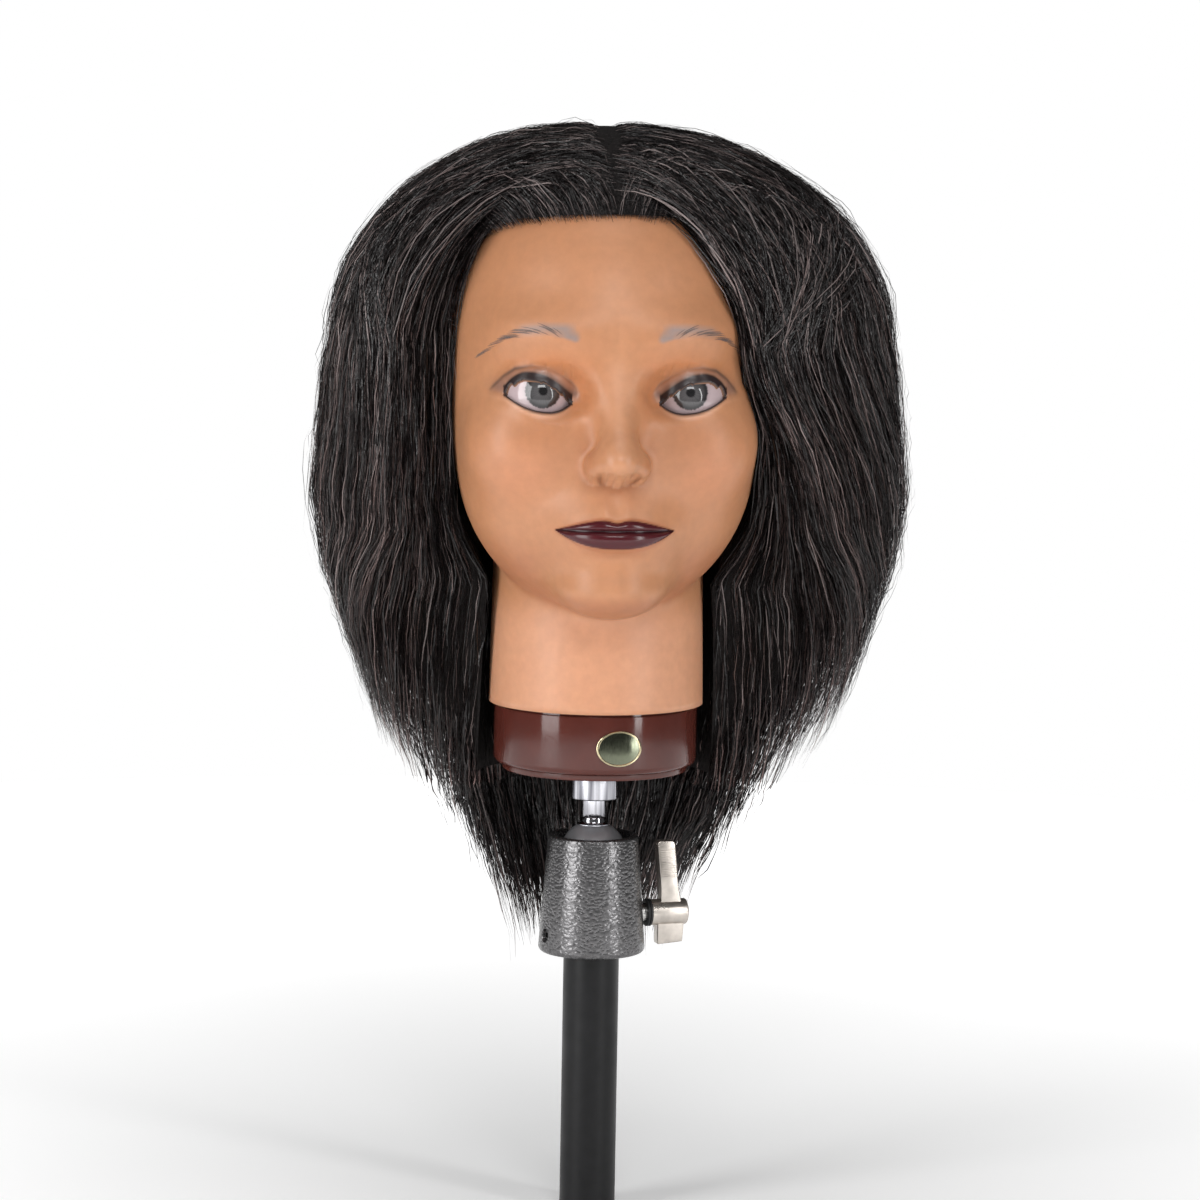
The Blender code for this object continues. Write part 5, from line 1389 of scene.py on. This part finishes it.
def refinish():
    finishes = (
        (BLACK_PLASTIC, "pole_top_insert"), (BRIGHT_STEEL, "clamp_screw", "wedge_pin"),
        (ACETAL, "ball_seat", "upper_seat_ring"), (RUBBER, "spigot_sleeve"), (NYLON, "socket_sleeve"),
        (FOAM, "head_core"),
        (ZINC_STEEL, "sleeve_washer", "sleeve_screw", "base_screw_1", "base_screw_2", "base_screw_3"))
    for mat, *names in finishes:
        for name in names:
            NODES[name].data.materials.clear()
            NODES[name].data.materials.append(mat)


# Stage

def area_light(name, place, aim, size, power):
    data = bpy.data.lights.new(name, "AREA")
    data.shape = "RECTANGLE"
    data.size, data.size_y = size
    data.energy = power
    lamp = bpy.data.objects.new(name, data)
    bpy.context.scene.collection.objects.link(lamp)
    lamp.location = place
    lamp.visible_camera = False
    lamp.rotation_euler = (Vector(aim) - Vector(place)).to_track_quat("-Z", "Y").to_euler()


def make_floor():
    """A pale floor that glows more the further out it goes, so that it fades into the white surround."""
    floor_mat = finish("pale_floor", (0.86, 0.86, 0.86), 0.7, Specular_IOR_Level=0.2)
    mottled = ramp(floor_mat, noise(floor_mat, 3), (0.84, 0.84, 0.84), (0.87, 0.87, 0.87))
    connect(floor_mat, mottled, "Base Color")
    place = node(floor_mat, "ShaderNodeTexCoord").outputs["Object"]
    away = node(floor_mat, "ShaderNodeVectorMath", {0: place}, operation="LENGTH").outputs["Value"]
    connect(floor_mat, between(floor_mat, away, 0.2, 1.0, 0.05, 0.95), "Emission Strength")
    shader_of(floor_mat).inputs["Emission Color"].default_value = (1, 1, 1, 1)
    bm = bmesh.new()
    bmesh.ops.create_circle(bm, cap_ends=True, segments=128, radius=1.3)
    floor = from_bmesh("floor", bm, floor_mat)
    floor.location.z = -0.5 * MM


def make_world():
    """White to the camera, and a dim light to everything else."""
    world = bpy.data.worlds.new("studio")
    bpy.context.scene.world = world
    world.use_nodes = True
    tree = world.node_tree
    soft = tree.nodes["Background"]
    soft.inputs[0].default_value = (1, 1, 1, 1)
    soft.inputs[1].default_value = 0.09
    plain = tree.nodes.new("ShaderNodeBackground")
    plain.inputs[0].default_value = (1, 1, 1, 1)
    seen = tree.nodes.new("ShaderNodeLightPath").outputs["Is Camera Ray"]
    mix = tree.nodes.new("ShaderNodeMixShader")
    for k, socket in enumerate((seen, soft.outputs[0], plain.outputs[0])):
        tree.links.new(socket, mix.inputs[k])
    tree.links.new(mix.outputs[0], tree.nodes["World Output"].inputs[0])


def make_lights():
    """Upright boxes at both sides, softer ones in front and above, and two from behind."""
    aim, level = (0, 0, 0.34), (0, 0, 0.58)
    area_light("window_left", (-1.04, -0.70, 0.58), level, (0.46, 1.12), 10.5)
    area_light("strip_right", (0.93, -0.95, 0.58), level, (0.2, 1.12), 6.5)
    area_light("front", (0.05, -1.9, 1.45), aim, (1.0, 0.6), 14.5)
    area_light("top", (0.0, -0.4, 1.9), aim, (0.9, 0.7), 4)
    area_light("rim_left", (-1.6, 1.0, 0.9), aim, (0.4, 1.2), 4)
    area_light("rim_right", (1.6, 1.0, 0.9), aim, (0.4, 1.2), 4)


def make_camera():
    azimuth, distance, eye = math.radians(-4.7), 2.1, 0.52
    place = Vector((distance * math.sin(azimuth), -distance * math.cos(azimuth), eye))
    target = Vector((1.2 * MM, 0, 0.280))
    view = math.radians(14.65)
    data = bpy.data.cameras.new("camera")
    data.sensor_width = 36
    data.lens = data.sensor_width / 2 / math.tan(view / 2)
    camera = bpy.data.objects.new("camera", data)
    bpy.context.scene.collection.objects.link(camera)
    roll = Matrix.Rotation(math.radians(1.0), 4, "Z")
    look = (target - place).to_track_quat("-Z", "Y").to_matrix().to_4x4()
    camera.matrix_world = Matrix.Translation(place) @ look @ roll
    bpy.context.scene.camera = camera
    bpy.context.scene.view_settings.view_transform = "Standard"


make_camera()
make_floor()
make_world()
make_lights()
refinish()
make_pole()
make_housing()
make_set_screw()
make_ball_and_stud()
make_lever()
make_grip_ribs()
make_lever_washer()
make_neck_ring()
make_badge()
make_face()
make_brow_strokes()
make_eyes()
make_hair()
